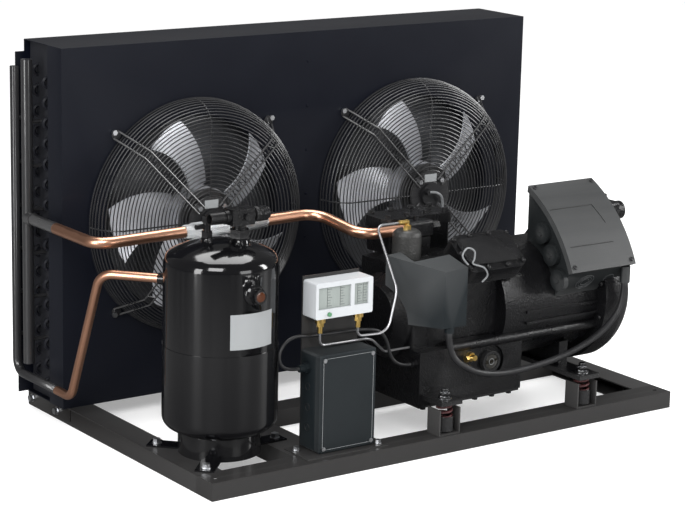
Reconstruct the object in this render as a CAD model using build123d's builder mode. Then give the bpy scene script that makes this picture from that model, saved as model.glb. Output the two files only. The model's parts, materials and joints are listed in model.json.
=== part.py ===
"""Refrigeration condensing unit: base frame, condenser with two fans, receiver,
semi-hermetic compressor, controls and pipework. Millimetres, +Z up, +X to the
right along the base, +Y towards the condenser; origin at the centre of the
base's footprint on the floor."""

import os
from math import cos, radians, sin, tan

from build123d import *

os.makedirs("parts", exist_ok=True)

# ---- driving dimensions: base frame ----
BASE_L, BASE_W, BASE_H = 1405.0, 885.0, 43.0
SHEET = 3.0                      # channel sheet
FLANGE = 70.0                    # channel flange width
ANCHOR_X, ANCHOR_Y, ANCHOR_R = 675.0, 411.0, 6.0
CROSS_X0, CROSS_X1 = -438.0, -337.0
MID_Y0, MID_Y1 = -55.0, 15.0
BX, BY = BASE_L / 2, BASE_W / 2

# ---- condenser cabinet ----
CAB_X, CAB_TOP = 717.0, 943.0
CAB_FRONT, CAB_BACK = 229.0, 425.0
PANEL = 2.0
COIL_Y0, COIL_Y1 = 300.0, 420.0
COIL_X = 698.0
COIL_Z0, COIL_Z1 = BASE_H + PANEL, CAB_TOP - PANEL
FIN_SLOTS = 34
BEND_PITCH, BEND_R, BEND_ROWS = 25.4, 5.0, 16
BEND_COLUMNS = (330.0, 380.0)
HEADER_X = -750.0
GAS_HEADER_Y, GAS_HEADER_R = 345.0, 14.0
LIQ_HEADER_Y, LIQ_R = 410.0, 11.0
GAS_R, GAS_Z = 14.0, 512.0
SOCKET_WALL = 2.5
PAINT_END_Y = 200.0
LIQ_LOW_Z = 105.0

# ---- fans ----
FAN_X, FAN_Z = 344.0, 498.0
NOZZLE_R, NOZZLE_WALL, NOZZLE_BACK = 252.5, 2.5, 265.0
BLADE_TIP = 245.0
BLADES = 5
GUARD_WIRE = 3.0
GUARD_FRONT_Y = 142.0            # front faces of the guard's flat rings
GUARD_RINGS, GUARD_FIRST_R, GUARD_PITCH = 9, 66.0, 22.0
GUARD_SIDE = ((256.0, 150.0), (270.0, 164.0), (283.0, 183.0), (293.0, 203.0), (299.0, 224.0))
NOZZLE_FACE = CAB_FRONT - PANEL   # front face of the nozzle's flange
ARM_WIRE, ARM_HALF = 4.0, 11.0
ARM_FOOT_R, ARM_KINK_R = 322.0, 258.0
STATOR_R, ROTOR_R, SHAFT_R = 62.0, 77.5, 12.0
MOTOR_BOLT_R = 50.0
RUNNING = 0.05                   # radial running clearance
FIT = 0.1                        # clearance of fitted round parts

# ---- receiver ----
REC_X, REC_Y, REC_R, REC_WALL = -557.0, -241.0, 136.5, 4.0
REC_LOW, REC_SEAM, REC_SHOULDER = 125.0, 305.0, 505.0
REC_DOME, REC_KNUCKLE = 49.0, 30.0
FOOT_T, FOOT_RING_R = 4.0, 98.0
REC_BOLTS = ((-662.0, -131.0), (-662.0, -351.0), (-400.0, -241.0))
VALVE_X, VALVE_Y, VALVE_SEAT = -530.0, -275.0, 560.0
VALVE_Z = 610.0
VENT_X, VENT_Y, VENT_SEAT = -590.0, -230.0, 558.0
GLASS_Z, GLASS_SEAT = 450.0, 388.0
OUTLET_BORE = 11.1
REC_IN_Z, REC_IN_REACH = 446.0, 152.0

# ---- controls ----
BOX_X0, BOX_X1 = -385.0, -224.0
BOX_Y0, BOX_LID_Y, BOX_BACK = -405.0, -385.0, -325.0
BOX_Z1 = 285.0
PLATE_T = 3.0
SW_Y0, SW_Z0, SW_Z1 = -378.0, 365.0, 452.0
BUTTON_X, BUTTON_Z, BUTTON_R, BUTTON_TRAVEL = -345.0, 375.0, 5.0, 3.0
FITTING_XS, FITTING_Y, FITTING_LOW = (-352.0, -243.0), -352.0, 325.0
GLAND_Y, GLAND_Z = -354.0, 247.0

# ---- compressor ----
AX_Y, AX_Z = -215.0, 300.0       # motor axis
BARREL_R, BELL_R = 150.0, 185.0
BELL_X0, BELL_X1, END_X = 500.0, 555.0, 625.0
CASE_X0, CASE_X1 = -60.0, 265.0
CASE_Y0, CASE_Y1, CASE_TOP = -325.0, -105.0, 430.0
SUMP_Y0, SUMP_Y1, SUMP_Z0, SUMP_Z1 = -360.0, -70.0, 100.0, 235.0
SUMP_COVER = 6.0
FOOT_XS, FOOT_YS = (-20.0, 420.0), (-410.0, -30.0)
FOOT_Z, FOOT_PLATE, FOOT_HALF = 118.0, 12.0, 32.0
BRACKET_H = 65.0
SIGHT_X, SIGHT_Z, SIGHT_R, RECESS_R = 160.0, 184.0, 27.0, 42.0
TBOX_X0, TBOX_X1 = 360.0, 560.0
TBOX_TOP, TBOX_FRONT = (-248.0, 589.0), (-432.0, 399.0)
TBOX_BULGE, LID_T = 22.0, 12.0
DIS_X, DIS_Y, DIS_Z = 30.0, -170.0, 496.0
SUC_X, SUC_Y, SUC_Z, SUC_BORE = 650.0, -240.0, 492.0, 17.5
MODULE_Z0 = BASE_H + 257.0
CABLE_GLAND_Y, CABLE_GLAND_Z = -342.0, 206.0


def up(z, x=0.0, y=0.0):
    """Plane at height z, centred at x, y, facing +Z."""
    return Plane(origin=(x, y, z), x_dir=(1, 0, 0), z_dir=(0, 0, 1))


def front(y, x=0.0, z=0.0):
    """Plane at depth y facing -Y, its local y up."""
    return Plane(origin=(x, y, z), x_dir=(1, 0, 0), z_dir=(0, -1, 0))


def side(x, y=0.0, z=0.0, sign=1):
    """Plane at x facing +X or -X, local x along Y, local y up (mirrored when facing -X)."""
    return Plane(origin=(x, y, z), x_dir=(0, sign, 0), z_dir=(sign, 0, 0))


def block(x0, x1, y0, y1, z0, z1, mode=Mode.ADD):
    """A box between six planes, in the part being built."""
    with BuildSketch(up(z0, (x0 + x1) / 2, (y0 + y1) / 2)) as profile:
        Rectangle(x1 - x0, y1 - y0)
    extrude(profile.sketch, amount=z1 - z0, mode=mode)


def disc(plane, radius, height, bore=0.0, mode=Mode.ADD):
    """A cylinder or ring standing on a plane."""
    with BuildSketch(plane) as profile:
        Circle(radius)
        if bore:
            Circle(bore, mode=Mode.SUBTRACT)
    extrude(profile.sketch, amount=height, mode=mode)


def hexagon(plane, across, height):
    """A hexagon prism, such as a bolt head, standing on a plane."""
    with BuildSketch(plane) as profile:
        RegularPolygon(across / 2, 6, major_radius=False)
    extrude(profile.sketch, amount=height)


def bolt_head(plane, across):
    """A flanged hexagon head standing on a plane."""
    disc(plane, across * 0.68, 1.6)
    hexagon(plane.offset(1.6), across, across * 0.55)


def tube(points, radii, outer, bore=0.0):
    """A round tube along straight runs with rounded corners."""
    with BuildLine() as route:
        FilletPolyline(*points, radius=radii)
    with BuildSketch(Plane(origin=route.line @ 0, z_dir=route.line % 0)) as profile:
        Circle(outer)
        if bore:
            Circle(bore, mode=Mode.SUBTRACT)
    sweep(profile.sketch, path=route.line)


def corner_radii(points):
    """Bend radius at each inner point: 0.45 of the shorter run over the half turn's tangent."""
    found = []
    for before, here, after in zip(points, points[1:], points[2:]):
        first, second = Vector(here) - Vector(before), Vector(after) - Vector(here)
        turn = first.get_angle(second)
        found.append(0.45 * min(first.length, second.length) / tan(radians(turn / 2)))
    return found


def save(builder, name):
    """Label a finished piece and write it as a STEP file of the same name."""
    builder.part.label = name
    export_step(builder.part, f"parts/{name}.step")


# ======================= base frame =======================
def long_rail(name, outer_y, inward):
    """A channel across the whole length, web outside, ends closed."""
    inner_y = outer_y + inward * FLANGE
    y0, y1 = min(outer_y, inner_y), max(outer_y, inner_y)
    cut0, cut1 = (y0 + SHEET, y1) if inward > 0 else (y0, y1 - SHEET)
    with BuildPart() as rail:
        block(-BX, BX, y0, y1, 0, BASE_H)
        block(-BX + SHEET, BX - SHEET, cut0, cut1, SHEET, BASE_H - SHEET, Mode.SUBTRACT)
        with BuildSketch(up(0)):
            with Locations((-ANCHOR_X, -inward * ANCHOR_Y), (ANCHOR_X, -inward * ANCHOR_Y)):
                Circle(ANCHOR_R)
        extrude(amount=BASE_H, mode=Mode.SUBTRACT)
    save(rail, name)


def side_rail(name, sign):
    """A channel between the long rails, web outside."""
    x0, x1 = sorted((sign * BX, sign * (BX - FLANGE)))
    cut0, cut1 = (x0, x1 - SHEET) if sign > 0 else (x0 + SHEET, x1)
    with BuildPart() as rail:
        block(x0, x1, -BY + FLANGE, BY - FLANGE, 0, BASE_H)
        block(cut0, cut1, -BY + FLANGE, BY - FLANGE, SHEET, BASE_H - SHEET, Mode.SUBTRACT)
        if sign < 0:
            block(x0, x0 + SHEET, CAB_FRONT - 11, CAB_FRONT - 7, 10, BASE_H - SHEET, Mode.SUBTRACT)
    save(rail, name)


long_rail("base_front_rail", -BY, 1)
long_rail("base_rear_rail", BY, -1)
side_rail("base_left_rail", -1)
side_rail("base_right_rail", 1)

with BuildPart() as cross:
    block(CROSS_X0, CROSS_X1, -BY + FLANGE, MID_Y1, 0, BASE_H)
    block(CROSS_X0 + SHEET, CROSS_X1 - SHEET, -BY + FLANGE, MID_Y1, 0, BASE_H - SHEET, Mode.SUBTRACT)
    block(CROSS_X1, BX - FLANGE, MID_Y0, MID_Y1, 0, BASE_H)
    block(CROSS_X1, BX - FLANGE, MID_Y0 + SHEET, MID_Y1 - SHEET, 0, BASE_H - SHEET, Mode.SUBTRACT)
save(cross, "base_cross_members")

# ======================= condenser cabinet =======================
FAN_XS = (-FAN_X, FAN_X)
PANEL_HOLE = NOZZLE_R + NOZZLE_WALL + FIT
with BuildPart() as panel:
    block(-CAB_X, CAB_X, CAB_FRONT, CAB_FRONT + PANEL, BASE_H, CAB_TOP)
    block(-CAB_X, -CAB_X + PANEL, CAB_FRONT, COIL_Y0, BASE_H, CAB_TOP)
    for fan_x in FAN_XS:
        disc(front(CAB_FRONT + PANEL, fan_x, FAN_Z), PANEL_HOLE, PANEL, mode=Mode.SUBTRACT)
save(panel, "fan_panel")

with BuildPart() as cabinet:
    block(-CAB_X + PANEL, CAB_X, CAB_FRONT + PANEL, CAB_BACK, CAB_TOP - PANEL, CAB_TOP)
    block(-CAB_X + PANEL, CAB_X, CAB_BACK - PANEL, CAB_BACK, CAB_TOP - 30, CAB_TOP)
    block(CAB_X - PANEL, CAB_X, CAB_FRONT + PANEL, CAB_BACK - PANEL, BASE_H, CAB_TOP - PANEL)
    block(-CAB_X + PANEL, CAB_X - PANEL, CAB_FRONT + PANEL, CAB_BACK - PANEL, BASE_H, BASE_H + PANEL)
    block(-CAB_X - 23, -CAB_X + 20, CAB_BACK - PANEL, CAB_BACK, BASE_H, CAB_TOP - 30)
save(cabinet, "cabinet_shell")

with BuildPart() as sheets:
    for sheet_x in (-COIL_X - PANEL, COIL_X):
        block(sheet_x, sheet_x + PANEL, COIL_Y0, COIL_Y1, COIL_Z0, COIL_Z1)
save(sheets, "tube_sheets")

with BuildPart() as fins:
    block(-COIL_X, COIL_X, COIL_Y0, COIL_Y1, COIL_Z0, COIL_Z1)
    slot_pitch = 2 * COIL_X / (FIN_SLOTS + 1)
    with BuildSketch(up(COIL_Z0, 0, COIL_Y1)):
        with GridLocations(slot_pitch, 1, FIN_SLOTS, 1):
            Rectangle(slot_pitch / 2, 6)
    extrude(amount=COIL_Z1 - COIL_Z0, mode=Mode.SUBTRACT)
save(fins, "fin_block")

with BuildPart() as bends:
    bend_x = -COIL_X - PANEL
    for row in range(BEND_ROWS):
        row_z = COIL_Z0 + 40 + row * 2 * BEND_PITCH
        for column, bend_y in enumerate(BEND_COLUMNS):
            with BuildSketch(front(bend_y + BEND_R, bend_x, row_z + column * BEND_PITCH)):
                Circle(BEND_PITCH / 2 + BEND_R)
                Circle(BEND_PITCH / 2 - BEND_R, mode=Mode.SUBTRACT)
                with Locations((BEND_PITCH, 0)):
                    Rectangle(2 * BEND_PITCH, 2 * BEND_PITCH, mode=Mode.SUBTRACT)
            extrude(amount=2 * BEND_R)
save(bends, "return_bends")

FEEDER_ZS = [200.0 + 110 * i for i in range(6)]
with BuildPart() as gas_header:
    disc(up(140, HEADER_X, GAS_HEADER_Y), GAS_HEADER_R, 765)
    disc(front(GAS_HEADER_Y, HEADER_X, GAS_Z), GAS_R + SOCKET_WALL, 30)
    for feeder_z in FEEDER_ZS:
        disc(side(HEADER_X, GAS_HEADER_Y, feeder_z), BEND_R, -COIL_X - PANEL - HEADER_X)
save(gas_header, "gas_header")

with BuildPart() as liquid_header:
    tube([(HEADER_X, LIQ_HEADER_Y, 880), (HEADER_X, LIQ_HEADER_Y, LIQ_LOW_Z),
          (HEADER_X, PAINT_END_Y, LIQ_LOW_Z)], 33, LIQ_R)
    for feeder_z in FEEDER_ZS:
        disc(side(HEADER_X, LIQ_HEADER_Y, feeder_z), BEND_R, -COIL_X - PANEL - HEADER_X)
save(liquid_header, "liquid_header")


# ======================= fans =======================
def radial(fan_x, angle):
    """Plane through the fan's axis: local x outwards at the angle, local y towards the back."""
    out = (cos(radians(angle)), 0, sin(radians(angle)))
    return Plane(origin=(fan_x, 0, FAN_Z), x_dir=out, z_dir=Vector(*out).cross(Vector(0, 1, 0)))


def make_guard(name, fan_x):
    """A wire dish: flat rings in front, stepped rings down the side, four radial wires."""
    flat = [(GUARD_FIRST_R + i * GUARD_PITCH, GUARD_FRONT_Y) for i in range(GUARD_RINGS)]
    rings = flat + list(GUARD_SIDE)
    half = GUARD_WIRE / 2
    with BuildPart() as guard:
        for ring_r, ring_y in rings:
            back = front(ring_y + GUARD_WIRE, fan_x, FAN_Z)
            disc(back, ring_r + half, GUARD_WIRE, ring_r - half)
        for angle in (0, 90, 180, 270):
            with BuildSketch(radial(fan_x, angle)):
                with BuildLine():
                    outer = [(ring_r, ring_y + 1) for ring_r, ring_y in rings]
                    inner = [(ring_r - 2, min(ring_y + 4, NOZZLE_FACE)) for ring_r, ring_y in rings]
                    Polyline(*outer, *reversed(inner), close=True)
                make_face()
            extrude(amount=half, both=True)
    save(guard, name)


def make_arms(name, fan_x):
    """Four ladder arms that carry the motor in front of the guard."""
    face = GUARD_FRONT_Y - ARM_WIRE
    with BuildPart() as arms:
        for angle in (45, 135, 225, 315):
            plane = radial(fan_x, angle)
            for offset_side in (-ARM_HALF, ARM_HALF):
                with BuildSketch(plane.offset(offset_side)):
                    with BuildLine():
                        Polyline((STATOR_R - 24, GUARD_FRONT_Y), (STATOR_R - 24, face),
                                 (ARM_KINK_R + 7, face), (ARM_FOOT_R - 5, CAB_FRONT - PLATE_T),
                                 (ARM_FOOT_R - 5, CAB_FRONT),
                                 (ARM_FOOT_R - 11, CAB_FRONT), (ARM_KINK_R + 4, GUARD_FRONT_Y),
                                 close=True)
                    make_face()
                extrude(amount=ARM_WIRE / 2, both=True)
            with BuildSketch(plane):
                for rung in range(6):
                    with Locations((STATOR_R - 22 + rung * 42, face + ARM_WIRE / 2)):
                        Rectangle(ARM_WIRE, ARM_WIRE)
                with Locations((ARM_FOOT_R, CAB_FRONT - PLATE_T / 2)):
                    Rectangle(28, PLATE_T)
            extrude(amount=ARM_HALF + ARM_WIRE / 2, both=True)
    save(arms, name)


def make_nozzle(name, fan_x):
    """A bell-mouthed ring: flange in front of the panel, throat through it."""
    with BuildPart() as nozzle:
        with BuildSketch(radial(fan_x, 0)):
            with BuildLine():
                Polyline((NOZZLE_R, NOZZLE_BACK), (NOZZLE_R + NOZZLE_WALL, NOZZLE_BACK),
                         (NOZZLE_R + NOZZLE_WALL, CAB_FRONT), (NOZZLE_R + 49, CAB_FRONT),
                         (NOZZLE_R + 49, CAB_FRONT - PANEL), (NOZZLE_R + 4, CAB_FRONT - PANEL),
                         (NOZZLE_R, CAB_FRONT + 3), close=True)
            make_face()
        revolve(axis=Axis((fan_x, 0, FAN_Z), (0, 1, 0)))
    save(nozzle, name)


STATOR_BACK = GUARD_FRONT_Y + 18
ROTOR_FRONT, ROTOR_BACK = STATOR_BACK + 0.3, STATOR_BACK + 74
SHAFT_END = STATOR_BACK + 40


def make_stator(name, fan_x):
    """The motor's fixed flange with its cable gland and its shaft stub."""
    with BuildPart() as stator:
        disc(front(STATOR_BACK, fan_x, FAN_Z), STATOR_R, STATOR_BACK - GUARD_FRONT_Y)
        disc(front(GUARD_FRONT_Y, fan_x, FAN_Z), 30, 6)
        disc(front(GUARD_FRONT_Y - 6, fan_x - 12, FAN_Z + 8), 9, 10)
        disc(front(SHAFT_END, fan_x, FAN_Z), SHAFT_R, SHAFT_END - STATOR_BACK)
    save(stator, name)


def make_rotor(name, fan_x):
    """The rotating bell of the external-rotor motor, bored for its shaft."""
    axis = Axis((fan_x, 0, FAN_Z), (0, 1, 0))
    bore = SHAFT_R + RUNNING
    with BuildPart() as rotor:
        with BuildSketch(radial(fan_x, 0)):
            with BuildLine():
                Polyline((bore, ROTOR_FRONT), (ROTOR_R, ROTOR_FRONT), (ROTOR_R, ROTOR_BACK - 12),
                         (ROTOR_R - 14, ROTOR_BACK), (0, ROTOR_BACK), (0, SHAFT_END + 0.3),
                         (bore, SHAFT_END + 0.3), close=True)
            make_face()
        revolve(axis=axis)
    save(rotor, name)


def make_blades(name, fan_x):
    """Five swept, twisted blades on a thin hub ring."""
    hub_in, hub_out = ROTOR_R + FIT, ROTOR_R + 3
    mid_y = ROTOR_FRONT + 44
    stations = ((hub_out - 2, 0, 92, 34, 4), (160, 9, 112, 29, 3.4), (BLADE_TIP + 12, 26, 150, 22, 3))
    with BuildPart() as blades:
        for blade in range(BLADES):
            for reach, lead, chord, pitch, thick in stations:
                angle = 20 + blade * 360 / BLADES + lead
                out = Vector(cos(radians(angle)), 0, sin(radians(angle)))
                tangent = out.cross(Vector(0, 1, 0))
                centre = Vector(fan_x, mid_y, FAN_Z) + out * reach
                with BuildSketch(Plane(origin=centre, x_dir=tangent, z_dir=out)):
                    Rectangle(chord, thick, rotation=pitch)
            loft()
        disc(front(ROTOR_BACK - 12, fan_x, FAN_Z), hub_out, ROTOR_BACK - 24 - ROTOR_FRONT)
        disc(front(ROTOR_BACK + 40, fan_x, FAN_Z), hub_in, 140, mode=Mode.SUBTRACT)
        disc(front(ROTOR_BACK + 40, fan_x, FAN_Z), BLADE_TIP, 140, mode=Mode.INTERSECT)
    save(blades, name)


for label, fan_x in (("left", -FAN_X), ("right", FAN_X)):
    make_guard(f"fan_guard_{label}", fan_x)
    make_arms(f"fan_arms_{label}", fan_x)
    make_nozzle(f"fan_nozzle_{label}", fan_x)
    make_stator(f"fan_motor_{label}", fan_x)
    make_rotor(f"fan_rotor_{label}", fan_x)
    make_blades(f"fan_blades_{label}", fan_x)

with BuildPart() as fan_bolts:
    for fan_x in FAN_XS:
        for angle in (45, 135, 225, 315):
            for reach, seat in ((ARM_FOOT_R + 4, CAB_FRONT - PLATE_T), (MOTOR_BOLT_R, GUARD_FRONT_Y)):
                at_x = fan_x + reach * cos(radians(angle))
                at_z = FAN_Z + reach * sin(radians(angle))
                hexagon(front(seat, at_x, at_z), 12, 7)
save(fan_bolts, "fan_bolts")


# ======================= receiver =======================
def dome_face(radius, dome, base_z, open_z, sign, mode=Mode.ADD):
    """Half section of a round end: a shallow crown with a rounded knuckle, open at open_z."""
    crown_z, edge_z = base_z + sign * dome, base_z + sign * dome * 0.2
    with BuildSketch(mode=Mode.PRIVATE) as half:
        with BuildLine():
            ThreePointArc((0, crown_z), (radius / 2, base_z + sign * dome * 0.8), (radius, edge_z))
            Polyline((radius, edge_z), (radius, open_z), (0, open_z), (0, crown_z))
        make_face()
        knuckle = half.vertices().group_by(Axis.X)[-1].sort_by(Axis.Y)[-1 if sign > 0 else 0]
        fillet(knuckle, REC_KNUCKLE)
    add(half.sketch, mode=mode)


def dome_shell(name, radius, open_z, base_z, sign, extras):
    """A round shell with one domed end, hollow, plus its welded bosses."""
    with BuildPart() as shell:
        with BuildSketch(front(REC_Y, REC_X)):
            dome_face(radius, REC_DOME, base_z, open_z, sign)
            dome_face(radius - REC_WALL, REC_DOME - REC_WALL, base_z, open_z, sign, Mode.SUBTRACT)
        revolve(axis=Axis((REC_X, REC_Y, 0), (0, 0, 1)))
        for plane, boss_r, height in extras:
            disc(plane, boss_r, height)
    save(shell, name)


IN_DIR = Vector(-0.650, 0.760, 0).normalized()
IN_SEAT = Vector(REC_X, REC_Y, REC_IN_Z) + IN_DIR * REC_IN_REACH
UPPER_R = REC_R - 1.5
dome_shell("receiver_lower_shell", REC_R, REC_SEAM, REC_LOW, -1, ())
dome_shell("receiver_upper_shell", UPPER_R, REC_SEAM, REC_SHOULDER, 1, (
    (up(REC_SHOULDER + 30, VALVE_X, VALVE_Y), 24, VALVE_SEAT - REC_SHOULDER - 30),
    (up(REC_SHOULDER + 32, VENT_X, VENT_Y), 13, VENT_SEAT - REC_SHOULDER - 32),
    (front(REC_Y - UPPER_R + 12, REC_X, GLASS_Z), 24, GLASS_SEAT + REC_Y - UPPER_R + 12),
    (Plane(origin=IN_SEAT - IN_DIR * 30, z_dir=IN_DIR), LIQ_R + SOCKET_WALL, 30),
))

with BuildPart() as feet:
    for bolt_x, bolt_y in REC_BOLTS:
        run = Vector(bolt_x - REC_X, bolt_y - REC_Y, 0)
        with BuildSketch(Plane(origin=(REC_X, REC_Y, BASE_H), x_dir=run, z_dir=(0, 0, 1))):
            with Locations((run.length / 2 + 10, 0)):
                Rectangle(run.length + 20, 46)
        extrude(amount=FOOT_T)
    disc(up(BASE_H, REC_X, REC_Y), FOOT_RING_R, REC_LOW - BASE_H - 10, FOOT_RING_R - 4)
    with BuildSketch(front(REC_Y, REC_X)):
        dome_face(REC_R + 0.2, REC_DOME + 0.2, REC_LOW, REC_LOW + 10, -1)
    revolve(axis=Axis((REC_X, REC_Y, 0), (0, 0, 1)), mode=Mode.SUBTRACT)
save(feet, "receiver_feet")

SEAT_Y = -GLASS_SEAT
VALVE_HALF = 19.0
with BuildPart() as valve:
    hexagon(up(VALVE_SEAT, VALVE_X, VALVE_Y), 42, 20)
    disc(up(VALVE_SEAT + 20, VALVE_X, VALVE_Y), 15, VALVE_Z - VALVE_SEAT - 20)
    block(VALVE_X - 30, VALVE_X + 30, VALVE_Y - VALVE_HALF, VALVE_Y + VALVE_HALF,
          VALVE_Z - VALVE_HALF, VALVE_Z + VALVE_HALF)
    disc(side(VALVE_X - 30, VALVE_Y, VALVE_Z, -1), 16, 12)
    disc(side(VALVE_X - 42, VALVE_Y, VALVE_Z, -1), LIQ_R + 3, 40)
    disc(side(VALVE_X - 57, VALVE_Y, VALVE_Z, -1), OUTLET_BORE, 25, mode=Mode.SUBTRACT)
    disc(front(VALVE_Y - VALVE_HALF, VALVE_X + 8, VALVE_Z), 8, 7)
    disc(side(VALVE_X + 30, VALVE_Y, VALVE_Z), 13, 8)
save(valve, "receiver_valve")

with BuildPart() as valve_cap:
    disc(side(VALVE_X + 38, VALVE_Y, VALVE_Z), 18, 8)
    hexagon(side(VALVE_X + 46, VALVE_Y, VALVE_Z), 32, 26)
    disc(side(VALVE_X + 72, VALVE_Y, VALVE_Z), 13, 6)
save(valve_cap, "receiver_valve_cap")

with BuildPart() as vent:
    hexagon(up(VENT_SEAT, VENT_X, VENT_Y), 24, 14)
    disc(up(VENT_SEAT + 14, VENT_X, VENT_Y), 9, 22)
    hexagon(up(VENT_SEAT + 36, VENT_X, VENT_Y), 22, 14)
    disc(side(VENT_X - 8, VENT_Y, VENT_SEAT + 26, -1), 6, 22)
save(vent, "receiver_vent_valve")

# ======================= pipework =======================
GAS_RUN_Y = 0.0
HOSE_X0, HOSE_X1 = -510.0, -277.0
GAS_CORNER_X = -125.0
GAS_END_X = DIS_X
GAS_RISE = (DIS_Z + 26 - GAS_Z) / (GAS_CORNER_X - HEADER_X)


def gas_z(x):
    """Height of the gas line's long run, which rises slightly to the right."""
    return GAS_Z + (x - HEADER_X) * GAS_RISE


RUN_DIR = Vector(1, 0, GAS_RISE).normalized()
with BuildPart() as gas_left:
    tube([(HEADER_X, GAS_HEADER_Y - 30, GAS_Z), (HEADER_X, GAS_RUN_Y, GAS_Z),
          (HOSE_X0, GAS_RUN_Y, gas_z(HOSE_X0))], 45, GAS_R, GAS_R - 1.5)
save(gas_left, "gas_pipe_left")

with BuildPart() as hose:
    start = Vector(HOSE_X0, GAS_RUN_Y, gas_z(HOSE_X0))
    span = (HOSE_X1 - HOSE_X0) / RUN_DIR.X
    disc(Plane(origin=start, z_dir=RUN_DIR), 17, span)
    disc(Plane(origin=start + RUN_DIR * 22, z_dir=RUN_DIR), 19.5, span - 44)
save(hose, "braided_hose")

with BuildPart() as gas_right:
    tube([(HOSE_X1, GAS_RUN_Y, gas_z(HOSE_X1)), (GAS_CORNER_X, GAS_RUN_Y, gas_z(GAS_CORNER_X)),
          (-105, DIS_Y, DIS_Z), (GAS_END_X, DIS_Y, DIS_Z)], (55, 50), GAS_R, GAS_R - 1.5)
save(gas_right, "gas_pipe_right")

with BuildPart() as liquid_pipe:
    tube([(HEADER_X, PAINT_END_Y, LIQ_LOW_Z), (HEADER_X, 128, LIQ_LOW_Z),
          (HEADER_X, -16, REC_IN_Z), tuple(IN_SEAT)], (40, 45), LIQ_R, LIQ_R - 1.2)
save(liquid_pipe, "liquid_pipe")

# ======================= controls =======================
with BuildPart() as bracket:
    block(BOX_X0 - 42, BOX_X1 + 28, -422, BOX_BACK + PLATE_T, BASE_H, BASE_H + PLATE_T)
    block(BOX_X0, BOX_X1, BOX_BACK, BOX_BACK + PLATE_T, BASE_H, SW_Z1 + 8)
save(bracket, "control_bracket")

BOX_Z0 = BASE_H + PLATE_T
with BuildPart() as box:
    block(BOX_X0, BOX_X1, BOX_LID_Y, BOX_BACK, BOX_Z0, BOX_Z1)
    fillet(box.edges().filter_by(Axis.Y), 6)
    block(BOX_X0 + 3, BOX_X1 - 3, BOX_LID_Y, BOX_BACK - 3, BOX_Z0 + 3, BOX_Z1 - 3, Mode.SUBTRACT)
    hexagon(side(BOX_X0, GLAND_Y, GLAND_Z, -1), 22, 12)
    disc(side(BOX_X0 - 12, GLAND_Y, GLAND_Z, -1), 9, 14)
save(box, "junction_box")

with BuildPart() as lid:
    block(BOX_X0, BOX_X1, BOX_Y0, BOX_LID_Y, BOX_Z0, BOX_Z1)
    fillet(lid.edges().filter_by(Axis.Y), 6)
    chamfer(lid.faces().sort_by(Axis.Y)[0].edges(), 3)
save(lid, "junction_box_lid")

WINDOWS = ((BOX_X0 + 10, 92.0), (BOX_X0 + 112, 40.0))
WINDOW_Z0, WINDOW_H, WINDOW_DEEP = 388.0, 52.0, 6.0
SW_X0, SW_X1 = BOX_X0 + 2, BOX_X1 + 4
with BuildPart() as switch:
    block(SW_X0, SW_X1, SW_Y0, BOX_BACK, SW_Z0, SW_Z1)
    fillet(switch.edges().filter_by(Axis.Y), 5)
    for win_x, win_w in WINDOWS:
        block(win_x, win_x + win_w, SW_Y0, SW_Y0 + WINDOW_DEEP, WINDOW_Z0, WINDOW_Z0 + WINDOW_H,
              Mode.SUBTRACT)
    disc(front(SW_Y0 + 14, BUTTON_X, BUTTON_Z), BUTTON_R + 0.3, 14, mode=Mode.SUBTRACT)
save(switch, "pressure_switch")

with BuildPart() as button:
    disc(front(SW_Y0 + 14 - BUTTON_TRAVEL - 0.3, BUTTON_X, BUTTON_Z), BUTTON_R, 15)
save(button, "reset_button")

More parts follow.
